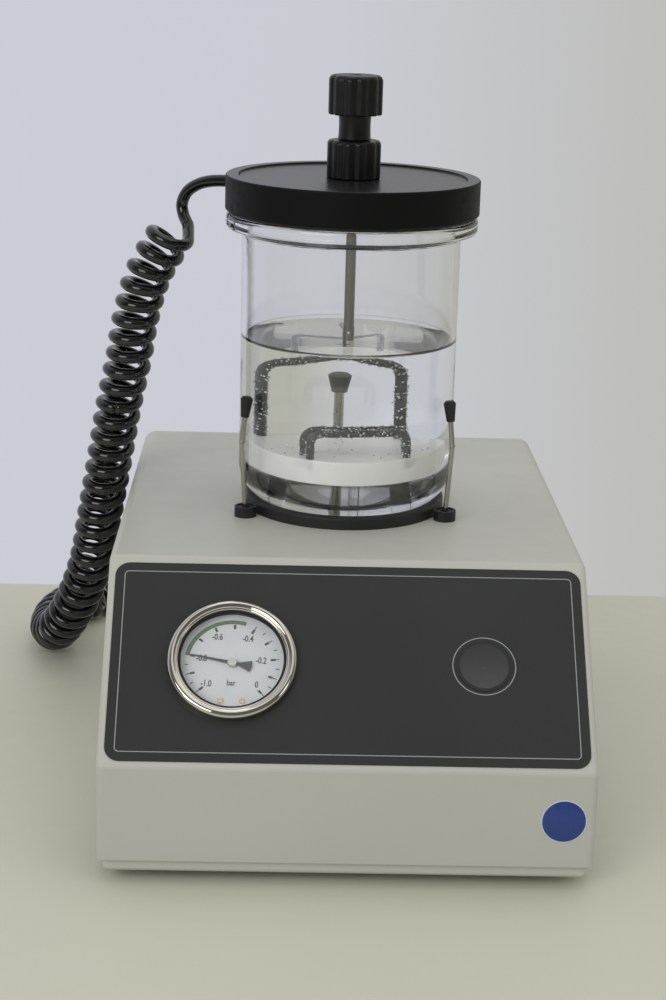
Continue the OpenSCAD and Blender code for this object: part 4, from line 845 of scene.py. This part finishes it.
def make_gauge():
    """The bezel and its seal are profiles turned about the dial's middle, and the dial's scale is
    flat ink: bars along radii, a green band between two radii, and lettering."""
    profile = ([(34.4, FOIL_T), (34.5, 1.4)] + arc((31.9, 3.35), 2.6, 0, 118, 14)
               + arc((29.7, 4.35), 1.15, 70, 190, 10)
               + [(28.5, 3.35), (31.0, 3.3), (33.4, 3.0), (33.4, FOIL_T)])
    bezel = grid_piece("bezel_ring", slope_revolved(GAUGE, profile), chrome.material,
                       "housing", wrap_rows=True, wrap_columns=True)
    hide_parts("gauge_bezel")
    gasket = moulded_finish("bezel_gasket", linear(20, 20, 21), 0.6).material
    ring = [(28.9, 3.9), (27.4, 3.75), (27.2, 3.45), (27.4, 3.3), (28.9, 3.3)]
    grid_piece("bezel_seal", slope_revolved(GAUGE, ring), gasket, "housing",
               wrap_rows=True, wrap_columns=True)

    ink = print_finish("dial_black_ink", linear(28, 28, 30)).material
    green = print_finish("dial_green_ink", linear(70, 104, 66)).material
    marks = []
    for step in range(SCALE_STEPS + 1):
        marks.append(scale_bar(step, *THICK_MARK))
        if step not in MARKS_AT_ARC:
            marks.append(scale_bar(step, *THIN_MARK))
    marks += [scale_bar(step + 0.5, *HALF_MARK) for step in HALF_MARKS]
    flat_shapes("dial_marks", GAUGE, marks, DIAL_PRINT, ink, PRINT_TURN)
    a = np.radians(np.linspace(ARC_FROM, ARC_TO, ARC_STEPS + 1))
    ways = turned(PRINT_TURN, np.stack([np.cos(a), np.sin(a)], axis=1))
    band = np.stack([ARC_IN_R * ways, ARC_OUT_R * ways], axis=1)
    grid_piece("dial_green_arc", on_slope(GAUGE, band, np.full(band.shape[:2], DIAL_PRINT + 0.01)),
               green, "housing", smooth=False)
    words = [(text, NUMBER_SIZE, NUMBER_NARROW, middle) for text, middle in NUMBERS] + [UNIT_WORD]
    lettering("dial_numbers", words, GAUGE, DIAL_PRINT, ink, PRINT_TURN)
    pin = [(POLE_R, DIAL_TOP), (STOP_PIN_R, DIAL_TOP), (STOP_PIN_R, DIAL_TOP + 1.2),
           (POLE_R, DIAL_TOP + 1.35)]
    pin_at = GAUGE + STOP_PIN_AT[0] * np.array([1, 0, 0]) + STOP_PIN_AT[1] * SLOPE_UP
    grid_piece("dial_stop_pin", slope_revolved(pin_at, pin, 12), bpy.data.materials["dial_brass"],
               "housing", wrap_columns=True, caps=True)


make_gauge()


# The print on the foil, and the round sticker

FRAME_INSET = 5.0
FRAME_LINE = 0.5
FRAME_CORNER_R = 2.5
BUTTON_RING_R = (16.45, 16.95)
PRINT_RISE = 0.02
STICKER_AT = (112.8, COVER_FRONT_Y, 40.1)
STICKER_EDGE = 0.05
ROUND_STEPS = 96


def rounded_frame(w, h, r, steps=8):
    """Points round a rectangle with round corners, anticlockwise."""
    points = []
    for sx, sy, a in ((1, 1, 0), (-1, 1, 90), (-1, -1, 180), (1, -1, 270)):
        t = np.radians(np.linspace(a, a + 90, steps))
        points += [(sx * (w / 2 - r) + r * cos(k), sy * (h / 2 - r) + r * sin(k)) for k in t]
    return np.array(points)


def foil_line(name, centre, inner, outer, material):
    """A thin line printed on the foil between two closed rows of points, a hair over its ground:
    up at the outer row, in to the inner one, down there and back underneath."""
    top = FOIL_T + PRINT_RISE
    corners = ((outer, FOIL_T), (outer, top), (inner, top), (inner, FOIL_T))
    rows = [on_slope(centre, row, np.full(len(row), height)) for row, height in corners]
    grid_piece(name, np.stack(rows), material, "housing",
               wrap_rows=True, wrap_columns=True, smooth=False)


def make_prints():
    """The foil's frame line, the button's ring, and the sticker: a pale disc under a blue one."""
    light = print_finish("foil_light_ink", linear(150, 154, 152), 0.45).material
    foil_w = FOIL_HIGH[0] - FOIL_LOW[0]
    up = solid_points("panel_foil") @ SLOPE_UP
    w, h = foil_w - 2 * FRAME_INSET, up.max() - up.min() - 2 * FRAME_INSET
    inner = rounded_frame(w - 2 * FRAME_LINE, h - 2 * FRAME_LINE, FRAME_CORNER_R - FRAME_LINE)
    foil_line("foil_frame_line", slope_point(0, FOIL_MIDDLE), inner,
              rounded_frame(w, h, FRAME_CORNER_R), light)
    a = np.arange(ROUND_STEPS) * 2 * pi / ROUND_STEPS
    ring = np.stack([np.cos(a), np.sin(a)], axis=1)
    foil_line("button_ring_line", BUTTON, BUTTON_RING_R[0] * ring, BUTTON_RING_R[1] * ring, light)

    for name, radius, t, colour, slot in (
            ("sticker_rim", 12.1, 0.12, linear(196, 204, 214), "dial_white"),
            ("sticker_disc", 11.4, 0.15, linear(38, 62, 132), "switch_blue")):
        profile = np.array([(POLE_R, t), (radius - STICKER_EDGE, t),
                            (radius, t - 0.04), (radius, 0.0)])
        r, out = profile[:, :1], profile[:, 1:]
        rings = np.stack([r * np.cos(a), -out + 0 * a, r * np.sin(a)], axis=2)
        material = print_finish(name, colour, 0.3).material
        grid_piece(name, STICKER_AT + rings[::-1], material, "housing",
                   wrap_columns=True, caps=True)


make_prints()


# The lid and its knobs

LID_R = 73.0
LID_T = 20.0
LID_BORE_R = 8.2
# The step under the lid, which fits into the jar's mouth
SPIGOT_R = 59.2
SPIGOT_T = 3.0
SPIGOT_CHAMFER = 0.8
# The lid's faces that lean more than this from straight up have the edge's duller finish, whose
# darker colour is painted shade
LID_EDGE_NORMAL = 0.8
KNOB_R = 15.6
KNOB_BORE_R = 3.1
FLUTES = 12
FLUTE_STEPS = 16
FLUTE_DEPTH = 1.15
FLUTE_POWER = 1.6
# How much of a flute's depth is lost over the head's upper round
FLUTE_FADE = 0.6
HEAD_EDGE_R = 1.0
NUT_ROUND_R = 2.4
NUT_UNDER_R = 9.0
HEAD_ROUND_R = 3.2
NECK_H = 14.0
NECK_FOOT_R = 8.6
NECK_CHAMFER = 0.3
NECK_R = 9.0
NECK_WAIST = 0.35


def make_lid():
    """The lid's profile, turned: the step into the jar, the edge with its rounded top, and a top
    face that lies a little lower inside the rim than on it."""
    base = node_box("lid_plate")[1][2] - LID_T
    place = (JAR_AXIS[0], JAR_AXIS[1], base)
    profile = ([(LID_BORE_R, -SPIGOT_T), (SPIGOT_R - SPIGOT_CHAMFER, -SPIGOT_T),
                (SPIGOT_R, SPIGOT_CHAMFER - SPIGOT_T), (SPIGOT_R, 0.0)]
               + arc((LID_R - 0.8, 0.8), 0.8, -90, 0, 5)
               + arc((LID_R - 1.3, LID_T - 1.3), 1.3, 0, 90, 7)
               + arc((LID_R - 7.0, LID_T - 0.5), 0.5, 90, 150, 4)
               + arc((LID_R - 8.6, LID_T - 0.7), 0.5, -30, -90, 4)
               + [(LID_BORE_R, LID_T - 1.2)])
    lid = grid_piece("lid_disc", revolved(profile, place, WIDE_TURN_STEPS), lid_black.material,
                     "lid", wrap_rows=True, wrap_columns=True)
    # The edge's finish is a duller, less glossy copy of the lid's black, and its darker colour is
    # painted shade on the lid's side
    edge = moulded_finish("lid_edge_anodised_painted_shade", linear(15, 15, 16), 0.5, grain=2400, depth=0.006,
                          Specular_IOR_Level=0.12)
    faces = lid.data.polygons
    lid.data.materials.append(edge.material)
    normals = np.empty(3 * len(faces), np.float32)
    faces.foreach_get("normal", normals)
    faces.foreach_set("material_index", (normals[2::3] < LID_EDGE_NORMAL).astype(np.int32))
    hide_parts("lid_plate")


def fluted_knob(name, node, profile, body):
    """A knob whose radius at height h and angle a is r(h) less a shallow round flute: the depth
    times (1 + cos(12 a)) / 2 to a power, where the profile's third number says how deep. It has a
    bore between the profile's ends."""
    base = node_box(node)[0][2]
    profile = held([(KNOB_BORE_R, profile[0][1], 0), *profile, (KNOB_BORE_R, profile[-1][1], 0)])
    a = np.arange(FLUTES * FLUTE_STEPS) * 2 * pi / (FLUTES * FLUTE_STEPS)
    flute = ((1 + np.cos(FLUTES * a)) / 2) ** FLUTE_POWER
    r = profile[:, :1] - FLUTE_DEPTH * profile[:, 2:] * flute
    rows = np.stack([JAR_AXIS[0] + r * np.cos(a), JAR_AXIS[1] + r * np.sin(a),
                     base + profile[:, 1:2] + 0 * a], axis=2)
    knob = grid_piece(name, rows, knob_plastic.material, body,
                      wrap_rows=True, wrap_columns=True)
    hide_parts(node)


def fluted_head(base, height, round_r):
    """The rows of a fluted head from its underside to its flat top, with round edges."""
    top = base + height
    lower = arc((KNOB_R - HEAD_EDGE_R, base + HEAD_EDGE_R), HEAD_EDGE_R, -70, 0, 5)
    upper = arc((KNOB_R - round_r, top - round_r), round_r, 0, 80, 8)
    fade = FLUTE_FADE / (len(upper) - 1)
    return [(KNOB_R - HEAD_EDGE_R - 0.2, base, 1), *[(r, h, 1) for r, h in lower],
            *[(r, h, 1 - i * fade) for i, (r, h) in enumerate(upper)],
            (KNOB_R - round_r - 0.8, top, 0.0)]


def make_knobs():
    """The gland's nut is a fluted head alone. The rod's knob has one on a neck that is a little
    narrower half way up."""
    low, high = node_box("gland_nut")
    nut = [(NUT_UNDER_R, 0, 0), *fluted_head(0, high[2] - low[2], NUT_ROUND_R)]
    fluted_knob("gland_nut_head", "gland_nut", nut, "nut")
    low, high = node_box("rod_knob")
    neck = [(NECK_FOOT_R, 0, 0)]
    for t in np.linspace(0, 1, 9):
        r = NECK_R + NECK_WAIST * (2 * t - 1) ** 2
        neck.append((r, NECK_H * t + NECK_CHAMFER * (1 - t), 0))
    head = fluted_head(NECK_H, high[2] - low[2] - NECK_H, HEAD_ROUND_R)
    fluted_knob("rod_knob_head", "rod_knob", neck + head, "rod")


make_lid()
make_knobs()


# The table, the wall behind it and the light

TABLE_END = 293.0
TABLE_FRONT = -3200.0
TABLE_HALF_W = 2600.0
# The table's top is a hair under the feet
TABLE_Z = -0.05


def make_table():
    """A wide flat table that ends where the wall begins."""
    x, y = np.meshgrid([-TABLE_HALF_W, TABLE_HALF_W], [TABLE_FRONT, TABLE_END], indexing="ij")
    rows = np.stack([x, y, np.full(x.shape, TABLE_Z)], axis=2)
    f = Finish("table_top", linear(204, 203, 187), 0.5, Specular_IOR_Level=0.3)
    f.tint(f.noise(3, 3), linear(200, 199, 183))
    f.rough(f.noise(80, 3), 0.45, 0.6)
    table = grid_piece("table", rows, f.material, None, smooth=False)


def area_lamp(name, at, towards, size, power, colour):
    """A rectangular lamp of a size in metres and a power in watts, turned towards a place."""
    data = bpy.data.lights.new(name, "AREA")
    data.shape = "RECTANGLE"
    data.size, data.size_y = size
    data.energy = power
    data.color = colour
    lamp = bpy.data.objects.new(name, data)
    way = Vector(towards) - Vector(at)
    lamp.rotation_euler = way.to_track_quat("-Z", "Y").to_euler()
    lamp.location = at
    bpy.context.scene.collection.objects.link(lamp)


ROOM_LIGHT = (0.66, 0.66, 0.665, 1)
ROOM_DARK = (0.13, 0.13, 0.13, 1)
# The wall's colours at the left, in the middle and at the right of the ways that show it
WALL_COLOURS = (linear(204, 205, 216), linear(202, 203, 211), linear(184, 184, 174))
WALL_SPAN = (-0.2, 0.25)
# Mirrored ways go over from the dark room before the tester to the wall behind it
MIRROR_SPAN = (-0.25, 0.15)
# Each lamp's name, place, aim, size in metres, power in watts and colour
LAMPS = (
    ("ceiling", (0.3, 0.0, 2.3), (0, 0, 0.1), (2.2, 1.6), 7, (1.0, 0.99, 0.96)),
    ("window", (-1.5, -2.2, 1.5), (0, 0, 0.2), (1.6, 1.4), 23, (0.99, 1.0, 0.99)),
    ("far_window", (1.9, -1.4, 1.3), (0, 0, 0.2), (0.6, 1.0), 3.3, (1.0, 0.99, 0.95)),
)


def make_light():
    """The world is an even light. What is seen in front of it is a wall that is paler on the left,
    and what shows in glossy surfaces is that wall behind the tester and a darker room before it."""
    world = bpy.data.worlds.new("room")
    world.use_nodes = True
    nodes, links = world.node_tree.nodes, world.node_tree.links
    path = nodes.new("ShaderNodeLightPath")
    place = nodes.new("ShaderNodeTexCoord")
    way = nodes.new("ShaderNodeSeparateXYZ")
    links.new(place.outputs["Generated"], way.inputs["Vector"])

    def spread(value, start, end):
        """value, taken from start..end to 0..1."""
        span = nodes.new("ShaderNodeMapRange")
        span.inputs["From Min"].default_value = start
        span.inputs["From Max"].default_value = end
        links.new(value, span.inputs["Value"])
        return span.outputs["Result"]

    def mixed(factor, a, b):
        """a going over to b with factor, each a colour or another node's output."""
        mix = nodes.new("ShaderNodeMix")
        mix.data_type = "RGBA"
        links.new(factor, mix.inputs["Factor"])
        for socket, value in (("A", a), ("B", b)):
            if isinstance(value, tuple):
                mix.inputs[socket].default_value = value
            else:
                links.new(value, mix.inputs[socket])
        return mix.outputs["Result"]

    wall = nodes.new("ShaderNodeValToRGB")
    links.new(spread(way.outputs["X"], *WALL_SPAN), wall.inputs["Fac"])
    ramp = wall.color_ramp
    ramp.elements[0].color = WALL_COLOURS[0]
    ramp.elements[1].color = WALL_COLOURS[2]
    ramp.elements.new(0.5).color = WALL_COLOURS[1]
    mirrored = mixed(spread(way.outputs["Y"], *MIRROR_SPAN), ROOM_DARK, wall.outputs["Color"])
    seen = nodes.new("ShaderNodeMath")
    seen.operation = "MAXIMUM"
    links.new(path.outputs["Is Camera Ray"], seen.inputs[0])
    links.new(path.outputs["Is Transmission Ray"], seen.inputs[1])
    light = mixed(path.outputs["Is Glossy Ray"], ROOM_LIGHT, mirrored)
    light = mixed(seen.outputs["Value"], light, wall.outputs["Color"])
    links.new(light, nodes["Background"].inputs["Color"])
    bpy.context.scene.world = world

    for lamp in LAMPS:
        area_lamp(*lamp)
    bpy.context.scene.view_settings.view_transform = "Standard"


make_table()
make_light()
